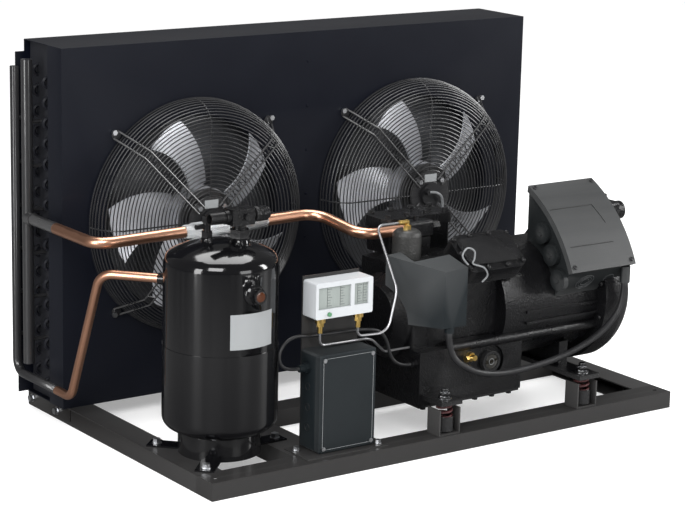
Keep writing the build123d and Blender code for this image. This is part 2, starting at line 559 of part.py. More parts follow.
# ======================= compressor =======================
MOTOR_AXIS = Axis((0, AX_Y, AX_Z), (1, 0, 0))
LEDGE_Y, LEDGE_Z = -366.0, 235.0
with BuildPart() as body:
    with BuildSketch(Plane(origin=(0, AX_Y, AX_Z), x_dir=(1, 0, 0), z_dir=(0, -1, 0))):
        with BuildLine():
            Polyline((CASE_X0 - 34, 0), (CASE_X0 - 34, 78), (CASE_X0 - 22, 92), (CASE_X0 - 10, 106),
                     (CASE_X0 + 30, 106), (200, 106), (200, BARREL_R), (BELL_X0, BARREL_R),
                     (BELL_X0, BELL_R), (BELL_X1, BELL_R))
            ThreePointArc((BELL_X1, BELL_R), (600, 158), (END_X, 105))
            Polyline((END_X, 105), (END_X + 4, 60), (END_X + 4, 0), (CASE_X0 - 34, 0))
        make_face()
    revolve(axis=MOTOR_AXIS)
    block(CASE_X0, CASE_X1, CASE_Y0, CASE_Y1, SUMP_Z1 - 20, CASE_TOP)
    block(CASE_X0, CASE_X1 - 5, SUMP_Y0, SUMP_Y1, SUMP_Z0, SUMP_Z1)
    fillet(body.edges().filter_by(Axis.Z).group_by(SortBy.LENGTH)[-1], 8)
    # side ledge and long ribs along the motor
    with BuildSketch(side(CASE_X0 + 95, LEDGE_Y + 20, LEDGE_Z)):
        SlotOverall(46, 24)
    extrude(amount=BELL_X0 - CASE_X0 - 95)
    for rib_z in (LEDGE_Z + 30, LEDGE_Z + 58):
        block(CASE_X1, BELL_X0, AX_Y - BARREL_R - 6, AX_Y, rib_z, rib_z + 7)
    # beams that carry the feet
    for foot_x in FOOT_XS:
        block(foot_x - FOOT_HALF, foot_x + FOOT_HALF, FOOT_YS[0] - 30, FOOT_YS[1] + 30,
              FOOT_Z, FOOT_Z + FOOT_PLATE)
        block(foot_x - 14, foot_x + 14, AX_Y - 120, AX_Y + 120, FOOT_Z, FOOT_Z + 75)
    # cable gland on the end of the sump
    hexagon(side(CASE_X0, CABLE_GLAND_Y, CABLE_GLAND_Z, -1), 20, 8)
    disc(side(CASE_X0 - 8, CABLE_GLAND_Y, CABLE_GLAND_Z, -1), 8, 8)
    # round recess for the oil sight glass, and necks for the two service valves
    disc(front(SUMP_Y0 + 8, SIGHT_X, SIGHT_Z), RECESS_R, 20, mode=Mode.SUBTRACT)
    block(DIS_X + 10, DIS_X + 60, DIS_Y - 22, DIS_Y + 22, CASE_TOP - 10, DIS_Z - 20)
    block(SUC_X - 70, SUC_X - 20, SUC_Y - 26, SUC_Y + 26, AX_Z + 80, SUC_Z - 24)
save(body, "compressor_body")

with BuildPart() as sump_cover:
    block(CASE_X0 + 3, CASE_X1 - 8, SUMP_Y0 + 3, SUMP_Y1 - 3, SUMP_Z0 - SUMP_COVER, SUMP_Z0)
    for bolt in range(6):
        for edge_y in (SUMP_Y0 + 12, SUMP_Y1 - 12):
            hexagon(up(SUMP_Z0 - SUMP_COVER, CASE_X0 + 22 + bolt * 54, edge_y), 13, -6)
save(sump_cover, "sump_cover")

FRONT_BANK = Plane(origin=(160, CASE_Y0 + 18, CASE_TOP - 6), x_dir=(1, 0, 0), z_dir=(0, -0.62, 0.785))
REAR_BANK = up(CASE_TOP, 95, CASE_Y1 + 12)
with BuildPart() as front_head:
    with BuildSketch(FRONT_BANK):
        RectangleRounded(186, 118, 26)
    extrude(amount=46)
    with BuildSketch(FRONT_BANK.offset(46)):
        RectangleRounded(166, 84, 20)
    extrude(amount=8)
    block(CASE_X0, CASE_X1, CASE_Y0, CASE_Y1, SUMP_Z1, CASE_TOP, Mode.SUBTRACT)
    block(CASE_X0, CASE_X1, CASE_Y0 - 90, CASE_Y0, SUMP_Z1, CASE_TOP - 60, Mode.SUBTRACT)
save(front_head, "front_cylinder_head")

with BuildPart() as rear_head:
    with BuildSketch(REAR_BANK):
        RectangleRounded(210, 88, 20)
    extrude(amount=62)
    with BuildSketch(REAR_BANK.offset(62)):
        RectangleRounded(220, 96, 22)
    extrude(amount=26)
    for bolt_y in (-34, 34):
        for bolt in range(4):
            hexagon(up(CASE_TOP + 88, 95 - 90 + bolt * 60, CASE_Y1 + 12 + bolt_y), 14, 9)
save(rear_head, "rear_cylinder_head")

MUFFLER_X, MUFFLER_Y = -20.0, -240.0
with BuildPart() as muffler:
    disc(up(CASE_TOP, MUFFLER_X, MUFFLER_Y), 36, 86)
    fillet(muffler.edges().group_by(Axis.Z)[-1], 16)
save(muffler, "discharge_muffler")

with BuildPart() as brass:
    hexagon(up(CASE_TOP + 86, MUFFLER_X, MUFFLER_Y), 18, 10)
    disc(up(CASE_TOP + 96, MUFFLER_X, MUFFLER_Y), 6, 12)
    disc(side(MUFFLER_X, MUFFLER_Y, CASE_TOP + 104, -1), 6, 26)
    for fit_x in FITTING_XS:
        disc(up(SW_Z0 - 14, fit_x, FITTING_Y), 13, 14)
        hexagon(up(SW_Z0 - 24, fit_x, FITTING_Y), 16, 10)
        disc(up(FITTING_LOW, fit_x, FITTING_Y), 6, SW_Z0 - 24 - FITTING_LOW)
    hexagon(front(SUMP_Y0, 92, 207), 20, 12)
    disc(front(SUMP_Y0 - 12, 92, 207), 7, 12)
    disc(side(92, SUMP_Y0 - 18, 207, -1), 6, 26)
    hexagon(side(74, SUMP_Y0 - 18, 207, -1), 15, 8)
save(brass, "brass_fittings")

with BuildPart() as sight_rings:
    hexagon(front(SEAT_Y, REC_X, GLASS_Z), 36, 14)
    disc(front(SEAT_Y - 14, REC_X, GLASS_Z), 16, 8)
    disc(front(SEAT_Y - 17, REC_X, GLASS_Z), 12, 5, mode=Mode.SUBTRACT)
    disc(front(SUMP_Y0 + 8, SIGHT_X, SIGHT_Z), SIGHT_R, 14)
    disc(front(SUMP_Y0 - 1, SIGHT_X, SIGHT_Z), SIGHT_R - 8, 6, mode=Mode.SUBTRACT)
save(sight_rings, "sight_glass_rings")

with BuildPart() as lenses:
    disc(front(SUMP_Y0 - 1, SIGHT_X, SIGHT_Z), SIGHT_R - 8 - FIT, 3)
    disc(front(SEAT_Y - 17, REC_X, GLASS_Z), 12 - FIT, 4)
    for win_x, win_w in WINDOWS:
        block(win_x, win_x + win_w, SW_Y0 + WINDOW_DEEP - 2, SW_Y0 + WINDOW_DEEP,
              WINDOW_Z0, WINDOW_Z0 + WINDOW_H)
save(lenses, "clear_windows")

with BuildPart() as dis_valve:
    block(DIS_X, DIS_X + 70, DIS_Y - 20, DIS_Y + 20, DIS_Z - 20, DIS_Z + 20)
    fillet(dis_valve.edges().filter_by(Axis.X), 7)
    disc(side(DIS_X + 70, DIS_Y, DIS_Z), 11, 8)
    hexagon(side(DIS_X + 78, DIS_Y, DIS_Z), 24, 20)
    disc(up(DIS_Z + 20, DIS_X + 30, DIS_Y), 7, 12)
save(dis_valve, "discharge_valve")

with BuildPart() as suc_valve:
    block(SUC_X - 58, SUC_X, SUC_Y - 28, SUC_Y + 28, SUC_Z - 24, SUC_Z + 28)
    fillet(suc_valve.edges().filter_by(Axis.X), 9)
    disc(side(SUC_X, SUC_Y, SUC_Z), 24, 26)
    disc(side(SUC_X + 2, SUC_Y, SUC_Z), SUC_BORE, 26, mode=Mode.SUBTRACT)
    hexagon(up(SUC_Z + 28, SUC_X - 36, SUC_Y), 22, 20)
save(suc_valve, "suction_valve")

# terminal box: an inner case that follows the motor, under a bulged lid
def bulged(top_point, low_point, bulge):
    """Arc from one point to another in the YZ plane, bowed away from the motor."""
    (y0, z0), (y1, z1) = top_point, low_point
    chord = Vector(y1 - y0, z1 - z0, 0)
    normal = Vector(chord.Y, -chord.X, 0).normalized()
    if normal.X > 0:
        normal = normal * -1
    mid_point = Vector((y0 + y1) / 2, (z0 + z1) / 2, 0) + normal * bulge
    return ThreePointArc(top_point, (mid_point.X, mid_point.Y), low_point)


TBOX_R = BARREL_R + 0.5
TBOX_C = (AX_Y + TBOX_R * cos(radians(170)), AX_Z + TBOX_R * sin(radians(170)))
TBOX_M = (AX_Y + TBOX_R * cos(radians(135)), AX_Z + TBOX_R * sin(radians(135)))
TBOX_E = (AX_Y + TBOX_R * cos(radians(102)), AX_Z + TBOX_R * sin(radians(102)))
IN_TOP = (TBOX_TOP[0] + 2, TBOX_TOP[1] - LID_T - 4)
IN_FRONT = (TBOX_FRONT[0] + LID_T + 2, TBOX_FRONT[1] - 6)
with BuildPart() as tbox:
    with BuildSketch(side(TBOX_X0)):
        with BuildLine():
            bulged(IN_TOP, IN_FRONT, TBOX_BULGE)
            Line(IN_FRONT, TBOX_C)
            ThreePointArc(TBOX_C, TBOX_M, TBOX_E)
            Line(TBOX_E, IN_TOP)
        make_face()
    extrude(amount=TBOX_X1 - TBOX_X0)
    for lobe_y, lobe_z in ((-352, 430), (-384, 372), (-312, 478)):
        disc(side(TBOX_X0, lobe_y, lobe_z, -1), 27, 14)
        hexagon(side(TBOX_X0 - 14, lobe_y, lobe_z, -1), 13, 5)
    disc(up(392, TBOX_X1 - 15, -416), 13, -42)
    disc(side(BELL_X0 - 2, AX_Y, AX_Z), BELL_R + 0.5, 80, mode=Mode.SUBTRACT)
save(tbox, "terminal_box")

with BuildPart() as tlid:
    with BuildSketch(side(TBOX_X0 - 6)):
        with BuildLine():
            bulged(TBOX_TOP, TBOX_FRONT, TBOX_BULGE + 2)
            Line(TBOX_FRONT, IN_FRONT)
            bulged(IN_TOP, IN_FRONT, TBOX_BULGE)
            Line(IN_TOP, TBOX_TOP)
        make_face()
    extrude(amount=TBOX_X1 - TBOX_X0 + 12)
save(tlid, "terminal_box_lid")

MODULE = ((-104, -270), (-22, -400), (47, -400), (47, CASE_Y0), (CASE_X0, CASE_Y0), (CASE_X0, -270))
with BuildPart() as module:
    with BuildSketch(up(MODULE_Z0)):
        with BuildLine():
            Polyline(*MODULE, close=True)
        make_face()
    extrude(amount=175)
    split(bisect_by=Plane(origin=(-22, -400, 441), x_dir=(1, 0, 0.07), z_dir=(-0.05, -0.22, 0.97)),
          keep=Keep.BOTTOM)
    disc(side(CASE_X0 - 60, AX_Y, AX_Z), 107, 60 + 40, mode=Mode.SUBTRACT)
    disc(up(MODULE_Z0, 5, -388), 12, -15)
save(module, "control_module")

# feet: channel bracket, spring, top nut at each corner
with BuildPart() as brackets:
    for foot_x in FOOT_XS:
        for foot_y in FOOT_YS:
            block(foot_x - 32, foot_x + 32, foot_y - 24, foot_y + 24, BASE_H, BASE_H + BRACKET_H)
            block(foot_x - 28, foot_x + 28, foot_y - 24, foot_y + 24, BASE_H + 4, BASE_H + BRACKET_H,
                  Mode.SUBTRACT)
save(brackets, "mount_brackets")

with BuildPart() as springs:
    for foot_x in FOOT_XS:
        for foot_y in FOOT_YS:
            disc(up(BASE_H + 4, foot_x, foot_y), 16, FOOT_Z - BASE_H - 4)
            for coil in range(5):
                disc(up(BASE_H + 8 + coil * 13, foot_x, foot_y), 21, 6)
save(springs, "mount_springs")

with BuildPart() as base_bolts:
    for bolt_x, bolt_y in REC_BOLTS:
        bolt_head(up(BASE_H + FOOT_T, bolt_x, bolt_y), 17)
    for bolt_x, bolt_y in ((BOX_X0 - 24, -346), (BOX_X1 + 12, -403)):
        bolt_head(up(BASE_H + PLATE_T, bolt_x, bolt_y), 13)
    for bolt_y in (420, 289):
        bolt_head(side(-BX, bolt_y, BASE_H / 2, -1), 15)
    for screw_x in (BOX_X0 + 12, BOX_X1 - 12):
        for screw_z in (BOX_Z0 + 12, BOX_Z1 - 12):
            disc(front(BOX_Y0, screw_x, screw_z), 5, 2.5)
    for foot_x in FOOT_XS:
        for foot_y in FOOT_YS:
            foot_top = FOOT_Z + FOOT_PLATE
            disc(up(foot_top, foot_x, foot_y), 17, 4)
            hexagon(up(foot_top + 4, foot_x, foot_y), 22, 12)
            disc(up(foot_top + 16, foot_x, foot_y), 8, 8)
save(base_bolts, "frame_bolts")

# ======================= capillaries and cords =======================
with BuildPart() as capillaries:
    tube([(FITTING_XS[0], FITTING_Y, FITTING_LOW), (FITTING_XS[0], FITTING_Y, 294),
          (-200, -345, 290), (-135, -315, 240), (CASE_X0, -315, 240)], (14, 60, 22), 3)
    tube([(FITTING_XS[1], FITTING_Y, FITTING_LOW), (FITTING_XS[1], FITTING_Y, 303),
          (-165, -366, 303), (-128, -350, 400), (-112, MUFFLER_Y, CASE_TOP + 104),
          (MUFFLER_X - 26, MUFFLER_Y, CASE_TOP + 104)], (12, 40, 60, 20), 3)
save(capillaries, "capillaries")

CONTROL_CABLE = [(BOX_X0 - 26, GLAND_Y, GLAND_Z), (-456, GLAND_Y, GLAND_Z), (-470, -350, 290),
                 (-430, -344, 326), (-353, -335, 314), (-215, -335, 313), (-150, -338, 298),
                 (-130, CABLE_GLAND_Y, CABLE_GLAND_Z), (CASE_X0 - 16, CABLE_GLAND_Y, CABLE_GLAND_Z)]
CONDUIT = [(5, -388, MODULE_Z0 - 15), (5, -388, 225), (60, -416, 185), (120, -416, 170),
           (180, -416, 166), (268, -416, 171), (360, -416, 185), (449, -416, 214),
           (505, -416, 250), (TBOX_X1 - 15, -416, 296), (TBOX_X1 - 15, -416, 350)]
CABLE_R, CONDUIT_R = 4.0, 8.0
for cord_name, route, cord_r in (("control_cable", CONTROL_CABLE, CABLE_R), ("conduit", CONDUIT, CONDUIT_R)):
    bend_radii = corner_radii(route)
    print(cord_name, "radii", [round(value) for value in bend_radii])
    with BuildPart() as cord:
        tube(route, bend_radii, cord_r)
    save(cord, cord_name)
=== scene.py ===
"""Looks of the condensing unit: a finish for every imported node, round wire guards, bent pipes,
coil bends, springs, lenses, labels and cords, under soft studio light. Metres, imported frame."""

import json
import logging
import math
from dataclasses import dataclass
from enum import Enum

import bpy
from mathutils import Matrix, Vector


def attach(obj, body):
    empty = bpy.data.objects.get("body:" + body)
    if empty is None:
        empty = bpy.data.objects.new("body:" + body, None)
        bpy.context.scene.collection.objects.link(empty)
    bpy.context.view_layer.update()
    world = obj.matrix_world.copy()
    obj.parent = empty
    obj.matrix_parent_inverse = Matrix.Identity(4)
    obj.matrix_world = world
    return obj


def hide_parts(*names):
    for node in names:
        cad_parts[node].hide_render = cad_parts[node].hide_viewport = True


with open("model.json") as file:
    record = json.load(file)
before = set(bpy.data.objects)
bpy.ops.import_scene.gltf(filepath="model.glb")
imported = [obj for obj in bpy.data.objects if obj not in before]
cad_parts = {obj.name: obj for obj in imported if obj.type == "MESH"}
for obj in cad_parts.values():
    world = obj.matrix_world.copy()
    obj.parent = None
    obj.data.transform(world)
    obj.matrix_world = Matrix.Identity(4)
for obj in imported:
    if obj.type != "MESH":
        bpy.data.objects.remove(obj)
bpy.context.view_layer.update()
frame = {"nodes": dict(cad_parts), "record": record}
LOG = logging.getLogger("condensing_unit")
BODY = "unit"
MM = 0.001
SMOOTH_ANGLE = math.radians(35)
MERGE_DISTANCE = 0.00002
QUARTER = math.pi / 2
WIRE_SIDES = 7
RIM_SHARE, RIM_STEPS = 0.45, 3
LINE_STEPS = 8
CORD_STEPS, CORD_SIDES = 12, 5
TOWARD_FRONT = (0, -1, 0)
Point = tuple[float, float, float]
Pair = tuple[float, float]
Piece = bpy.types.Object


class Facing(Enum):
    """Turns that set a flat ring square to an axis."""

    ALONG_X = (0, QUARTER, 0)
    ALONG_Y = (QUARTER, 0, 0)
    ALONG_Z = (0, 0, 0)


# ---- shader groups
BROAD_SCALE, BROAD_DETAIL, FINE_DETAIL = 9.0, 3.0, 4.0
EDGE_START, EDGE_FULL = 0.54, 0.66
BASE_SHADE = 0.8


def add_math(nodes: bpy.types.Nodes, operation: str) -> bpy.types.ShaderNodeMath:
    """Add a math node set to an operation."""
    node = nodes.new("ShaderNodeMath")
    node.operation = operation
    return node


def add_socket(group: bpy.types.ShaderNodeTree, name: str, kind: str,
               outward: bool = False) -> None:
    """Add a named socket to a node group."""
    group.interface.new_socket(name=name, in_out="OUTPUT" if outward else "INPUT",
                               socket_type=kind)


def grain_group() -> bpy.types.ShaderNodeTree:
    """Build the shared grain group: colour drift, roughness drift, bump height and edge wear.

    Returns:
        The node group, with inputs Color, Worn Color, Drift, Wear, Roughness, Scale.
    """
    group = bpy.data.node_groups.new("surface_grain", "ShaderNodeTree")
    for name in ("Color", "Worn Color"):
        add_socket(group, name, "NodeSocketColor")
    for name in ("Drift", "Wear", "Roughness", "Scale"):
        add_socket(group, name, "NodeSocketFloat")
    add_socket(group, "Color", "NodeSocketColor", True)
    for name in ("Roughness", "Height"):
        add_socket(group, name, "NodeSocketFloat", True)
    nodes, links = group.nodes, group.links
    inside, outside = nodes.new("NodeGroupInput"), nodes.new("NodeGroupOutput")
    coords = nodes.new("ShaderNodeTexCoord")
    fine, broad = nodes.new("ShaderNodeTexNoise"), nodes.new("ShaderNodeTexNoise")
    fine.inputs["Detail"].default_value = FINE_DETAIL
    broad.inputs["Scale"].default_value = BROAD_SCALE
    broad.inputs["Detail"].default_value = BROAD_DETAIL
    for noise in (fine, broad):
        links.new(coords.outputs["Object"], noise.inputs["Vector"])
    links.new(inside.outputs["Scale"], fine.inputs["Scale"])
    geometry = nodes.new("ShaderNodeNewGeometry")
    edge = nodes.new("ShaderNodeMapRange")
    edge.inputs["From Min"].default_value = EDGE_START
    edge.inputs["From Max"].default_value = EDGE_FULL
    links.new(geometry.outputs["Pointiness"], edge.inputs["Value"])
    worn = add_math(nodes, "MULTIPLY")
    links.new(edge.outputs["Result"], worn.inputs[0])
    links.new(inside.outputs["Wear"], worn.inputs[1])
    shade = add_math(nodes, "MULTIPLY_ADD")
    links.new(broad.outputs["Fac"], shade.inputs[0])
    links.new(inside.outputs["Drift"], shade.inputs[1])
    shade.inputs[2].default_value = BASE_SHADE
    tint = nodes.new("ShaderNodeVectorMath")
    tint.operation = "SCALE"
    links.new(inside.outputs["Color"], tint.inputs[0])
    links.new(shade.outputs[0], tint.inputs["Scale"])
    mix = nodes.new("ShaderNodeMix")
    mix.data_type = "RGBA"
    links.new(worn.outputs[0], mix.inputs["Factor"])
    links.new(tint.outputs["Vector"], mix.inputs["A"])
    links.new(inside.outputs["Worn Color"], mix.inputs["B"])
    links.new(mix.outputs["Result"], outside.inputs["Color"])
    rough = add_math(nodes, "MULTIPLY")
    links.new(shade.outputs[0], rough.inputs[0])
    links.new(inside.outputs["Roughness"], rough.inputs[1])
    links.new(rough.outputs[0], outside.inputs["Roughness"])
    links.new(fine.outputs["Fac"], outside.inputs["Height"])
    return group


GRAIN = grain_group()
COAT_ROUGHNESS = 0.06
BUMP_STRENGTH, BUMP_DEPTH = 4, 0.01
WEAVE_TURNS = (0.7, -0.7)


@dataclass(frozen=True)
class Finish:
    """One surface finish: colour, gloss, grain and edge wear."""

    name: str
    color: Point
    roughness: float = 0.4
    metallic: float = 0.0
    coat: float = 0.0
    drift: float = 0.4
    grain: float = 180.0
    bump: float = 0.05
    wear: float = 0.25
    worn: Point = (0.12, 0.12, 0.12)
    weave: float = 0.0
    specular: float = 0.5

    def material(self) -> bpy.types.Material:
        """Return the material of this finish, made once."""
        found = bpy.data.materials.get(self.name)
        return found if found else self._build()

    def _build(self) -> bpy.types.Material:
        """Wire the grain group into a Principled shader.

        Returns:
            The new material.
        """
        material = bpy.data.materials.new(self.name)
        material.use_nodes = True
        nodes, links = material.node_tree.nodes, material.node_tree.links
        shader = nodes["Principled BSDF"]
        shader.inputs["Metallic"].default_value = self.metallic
        shader.inputs["Coat Weight"].default_value = self.coat
        shader.inputs["Coat Roughness"].default_value = COAT_ROUGHNESS
        shader.inputs["Specular IOR Level"].default_value = self.specular
        grain = nodes.new("ShaderNodeGroup")
        grain.node_tree = GRAIN
        grain.inputs["Color"].default_value = (*self.color, 1.0)
        grain.inputs["Worn Color"].default_value = (*self.worn, 1.0)
        grain.inputs["Drift"].default_value = self.drift
        grain.inputs["Wear"].default_value = self.wear
        grain.inputs["Roughness"].default_value = self.roughness
        grain.inputs["Scale"].default_value = self.grain
        bump = nodes.new("ShaderNodeBump")
        bump.inputs["Strength"].default_value = min(1.0, self.bump * BUMP_STRENGTH)
        bump.inputs["Distance"].default_value = self.bump * BUMP_DEPTH
        links.new(grain.outputs["Color"], shader.inputs["Base Color"])
        links.new(grain.outputs["Roughness"], shader.inputs["Roughness"])
        height = self._woven(nodes, links) if self.weave else grain.outputs["Height"]
        links.new(height, bump.inputs["Height"])
        links.new(bump.outputs["Normal"], shader.inputs["Normal"])
        return material

    def _woven(self, nodes: bpy.types.Nodes, links: bpy.types.NodeLinks) -> bpy.types.NodeSocket:
        """Cross two diagonal waves into a braid.

        Args:
            nodes: The material's nodes.
            links: The material's links.

        Returns:
            The socket that carries the braid's height.
        """
        coords = nodes.new("ShaderNodeTexCoord")
        highest = add_math(nodes, "MAXIMUM")
        for slot, turn in enumerate(WEAVE_TURNS):
            mapping = nodes.new("ShaderNodeMapping")
            mapping.inputs["Rotation"].default_value = (0.0, turn, turn)
            wave = nodes.new("ShaderNodeTexWave")
            wave.inputs["Scale"].default_value = self.weave
            links.new(coords.outputs["Object"], mapping.inputs["Vector"])
            links.new(mapping.outputs["Vector"], wave.inputs["Vector"])
            links.new(wave.outputs["Fac"], highest.inputs[slot])
        return highest.outputs[0]


# ---- finishes
BASE_COAT = Finish("base_powder_coat", (0.006, 0.0052, 0.005), 0.36, coat=0.05, grain=420,
                   bump=0.03, specular=0.22)
PANEL_PAINT = Finish("cabinet_gloss_paint", (0.0025, 0.0032, 0.0065), 0.36, coat=0.03,
                     drift=0.3, bump=0.004, specular=0.07, wear=0.1)
COIL_COAT = Finish("coil_coating", (0.0025, 0.003, 0.006), 0.38, grain=300, specular=0.16,
                   wear=0.1)
FIN_SHEET = Finish("fin_sheet", (0.060, 0.062, 0.068), 0.4, metallic=0.5, drift=0.5, grain=700,
                   bump=0.03, specular=0.3)
PIPE_PAINT = Finish("header_paint", (0.012, 0.012, 0.013), 0.3, coat=0.4)
WIRE_COAT = Finish("guard_wire_coat", (0.008, 0.008, 0.009), 0.3, coat=0.2, specular=0.4)
MOTOR_PAINT = Finish("fan_motor_paint", (0.008, 0.008, 0.009), 0.4, grain=260, bump=0.08,
                     specular=0.35)
BLADE_METAL = Finish("blade_sheet", (0.46, 0.47, 0.50), 0.34, metallic=0.55, drift=0.3)
COPPER = Finish("bare_copper", (0.76, 0.41, 0.27), 0.33, metallic=1.0, drift=0.3, grain=90,
                bump=0.006, worn=(0.9, 0.5, 0.35))
BRASS = Finish("bare_brass", (0.62, 0.42, 0.13), 0.3, metallic=1.0, worn=(0.85, 0.65, 0.3))
ZINC = Finish("zinc_plate", (0.55, 0.56, 0.58), 0.3, metallic=1.0, worn=(0.75, 0.75, 0.76))
RECEIVER_PAINT = Finish("receiver_gloss", (0.003, 0.003, 0.0035), 0.12, coat=0.35, drift=0.2,
                        bump=0.003, specular=0.3, wear=0.05)
CAST_PAINT = Finish("painted_casting", (0.0035, 0.0035, 0.004), 0.28, coat=0.06, grain=210,
                    bump=0.2, specular=0.26, worn=(0.06, 0.06, 0.06))
BARE_CAST = Finish("dark_raw_casting", (0.030, 0.030, 0.029), 0.38, metallic=0.3, grain=240,
                   bump=0.2)
BRAID = Finish("steel_braid", (0.50, 0.51, 0.52), 0.32, metallic=1.0, bump=0.2, weave=120.0)
BOX_PLASTIC = Finish("box_moulding", (0.0065, 0.0092, 0.0108), 0.46, grain=520, bump=0.04,
                     specular=0.16)
TERMINAL_PLASTIC = Finish("terminal_moulding", (0.0085, 0.0098, 0.0104), 0.5, grain=620,
                          bump=0.05, specular=0.2)
SWITCH_PLASTIC = Finish("switch_moulding", (0.42, 0.435, 0.45), 0.35, drift=0.1, wear=0.0)
LABEL = Finish("bare_label", (0.235, 0.245, 0.25), 0.45, drift=0.06, wear=0.0)
WINDOW = Finish("scale_window", (0.19, 0.21, 0.20), 0.12, coat=0.4, wear=0.0)
AMBER_LENS = Finish("amber_lens", (0.045, 0.012, 0.003), 0.1, coat=0.6, wear=0.0)
DARK_LENS = Finish("dark_lens", (0.012, 0.011, 0.009), 0.06, coat=0.8, wear=0.0)
DULL_TUBE = Finish("dull_grey_tube", (0.30, 0.30, 0.31), 0.36, metallic=0.9, drift=0.4,
                   worn=(0.5, 0.5, 0.5))
BUTTON = Finish("button_cap", (0.05, 0.18, 0.08), 0.4)
SPRING_RED = Finish("spring_coat", (0.045, 0.004, 0.005), 0.45)
RUBBER = Finish("cable_sheath", (0.009, 0.009, 0.010), 0.45, grain=500, specular=0.35)
GREY_CABLE = Finish("grey_sheath", (0.13, 0.135, 0.14), 0.45)
RIM_GREY = Finish("rim_grey", (0.030, 0.032, 0.034), 0.45, worn=(0.1, 0.1, 0.1))
# Near-black: real print for the switch's scale marks, and painted groove shade for the terminal
# lid grooves and the box knock-outs.
PRINT_AND_GROOVE_SHADE = Finish("print_and_groove_shade", (0.004, 0.004, 0.004), 0.6, wear=0.0)
FLOOR_PAINT = Finish("floor_paint", (0.92, 0.92, 0.92), 0.7, drift=0.02, bump=0.0, wear=0.0)

SLOT_FINISH: dict[str, Finish] = {
    "satin_black": BASE_COAT, "gloss_panel": PANEL_PAINT, "coil_steel": COIL_COAT,
    "coil_black": COIL_COAT, "copper": COPPER, "pipe_black": PIPE_PAINT,
    "wire_black": WIRE_COAT, "motor_black": MOTOR_PAINT, "blade_grey": BLADE_METAL,
    "zinc": ZINC, "receiver_black": RECEIVER_PAINT, "cast_black": CAST_PAINT, "brass": BRASS,
    "bare_casting": BARE_CAST, "braid": BRAID, "box_plastic": BOX_PLASTIC,
    "switch_plastic": SWITCH_PLASTIC, "clear": WINDOW, "button_red": BUTTON,
    "spring_red": SPRING_RED, "cable_rubber": RUBBER,
}
NODE_FINISH: dict[str, Finish] = {
    "fin_block": FIN_SHEET, "receiver_vent_valve": RECEIVER_PAINT,
    "terminal_box": TERMINAL_PLASTIC, "terminal_box_lid": TERMINAL_PLASTIC,
}
ROUND_NODES: dict[str, tuple[Finish, str]] = {
    "braided_hose": (BRAID, "braid"), "liquid_header": (PIPE_PAINT, "pipe_black"),
    "receiver_upper_shell": (RECEIVER_PAINT, "receiver_black"),
    "receiver_lower_shell": (RECEIVER_PAINT, "receiver_black"),
    "terminal_box_lid": (TERMINAL_PLASTIC, "box_plastic"),
}


# ---- modelling helpers
def deselect() -> None:
    """Leave nothing selected."""
    bpy.ops.object.select_all(action="DESELECT")


def select_only(obj: Piece) -> None:
    """Select one object and make it the active one."""
    deselect()
    obj.select_set(True)
    bpy.context.view_layer.objects.active = obj


def active() -> Piece:
    """Return the active object."""
    return bpy.context.view_layer.objects.active


def add_object(name: str, data: bpy.types.ID) -> Piece:
    """Add a new object with its data to the scene."""
    obj = bpy.data.objects.new(name, data)
    bpy.context.scene.collection.objects.link(obj)
    return obj


def settle(obj: Piece) -> None:
    """Apply a piece's place so that its object sits at the origin."""
    select_only(obj)
    bpy.ops.object.transform_apply(location=True, rotation=True, scale=True)


def apply_modifier(obj: Piece, kind: str, **settings: float | str) -> None:
    """Add a modifier to the active object and apply it.

    Args:
        obj: The object, which has to be the active one.
        kind: The modifier's type.
        settings: The modifier's settings by name.
    """
    modifier = obj.modifiers.new(kind.lower(), kind)
    for name, value in settings.items():
        setattr(modifier, name, value)
    bpy.ops.object.modifier_apply(modifier=modifier.name)


def join(parts: list[Piece], name: str) -> Piece:
    """Join meshes into one named piece.

    Args:
        parts: The meshes, which are used up.
        name: The piece's name.

    Returns:
        The piece, with its object at the origin.
    """
    deselect()
    for part in parts:
        part.select_set(True)
    bpy.context.view_layer.objects.active = parts[0]
    if len(parts) > 1:
        bpy.ops.object.join()
    joined = active()
    joined.name = name
    settle(joined)
    return joined


def wire(points: list[Point], radius: float, sides: int = 2,
         closed: bool = False) -> Piece:
    """Model a round wire along points.

    Args:
        points: Centreline points in metres.
        radius: Wire radius.
        sides: Bevel resolution.
        closed: Whether the wire returns to its start.

    Returns:
        The mesh object.
    """
    curve = bpy.data.curves.new("wire", "CURVE")
    curve.dimensions = "3D"
    curve.bevel_depth, curve.bevel_resolution = radius, sides
    curve.use_fill_caps = not closed
    spline = curve.splines.new("POLY")
    spline.points.add(len(points) - 1)
    for place, point in zip(spline.points, points):
        place.co = (*point, 1.0)
    spline.use_cyclic_u = closed
    spline.use_smooth = True
    select_only(add_object("wire", curve))
    bpy.ops.object.convert(target="MESH")
    return active()


def ring(centre: Point, major: float, minor: float, facing: Facing = Facing.ALONG_Y,
         segments: int = 96) -> Piece:
    """Model a round wire ring about an axis.

    Args:
        centre: The ring's middle.
        major: Radius of the wire's centreline.
        minor: Radius of the wire.
        facing: The axis that the ring stands square to.
        segments: Steps round the ring.

    Returns:
        The mesh object.
    """
    deselect()
    bpy.ops.mesh.primitive_torus_add(
        location=centre, rotation=facing.value, major_radius=major, minor_radius=minor,
        major_segments=segments, minor_segments=WIRE_SIDES)
    return active()


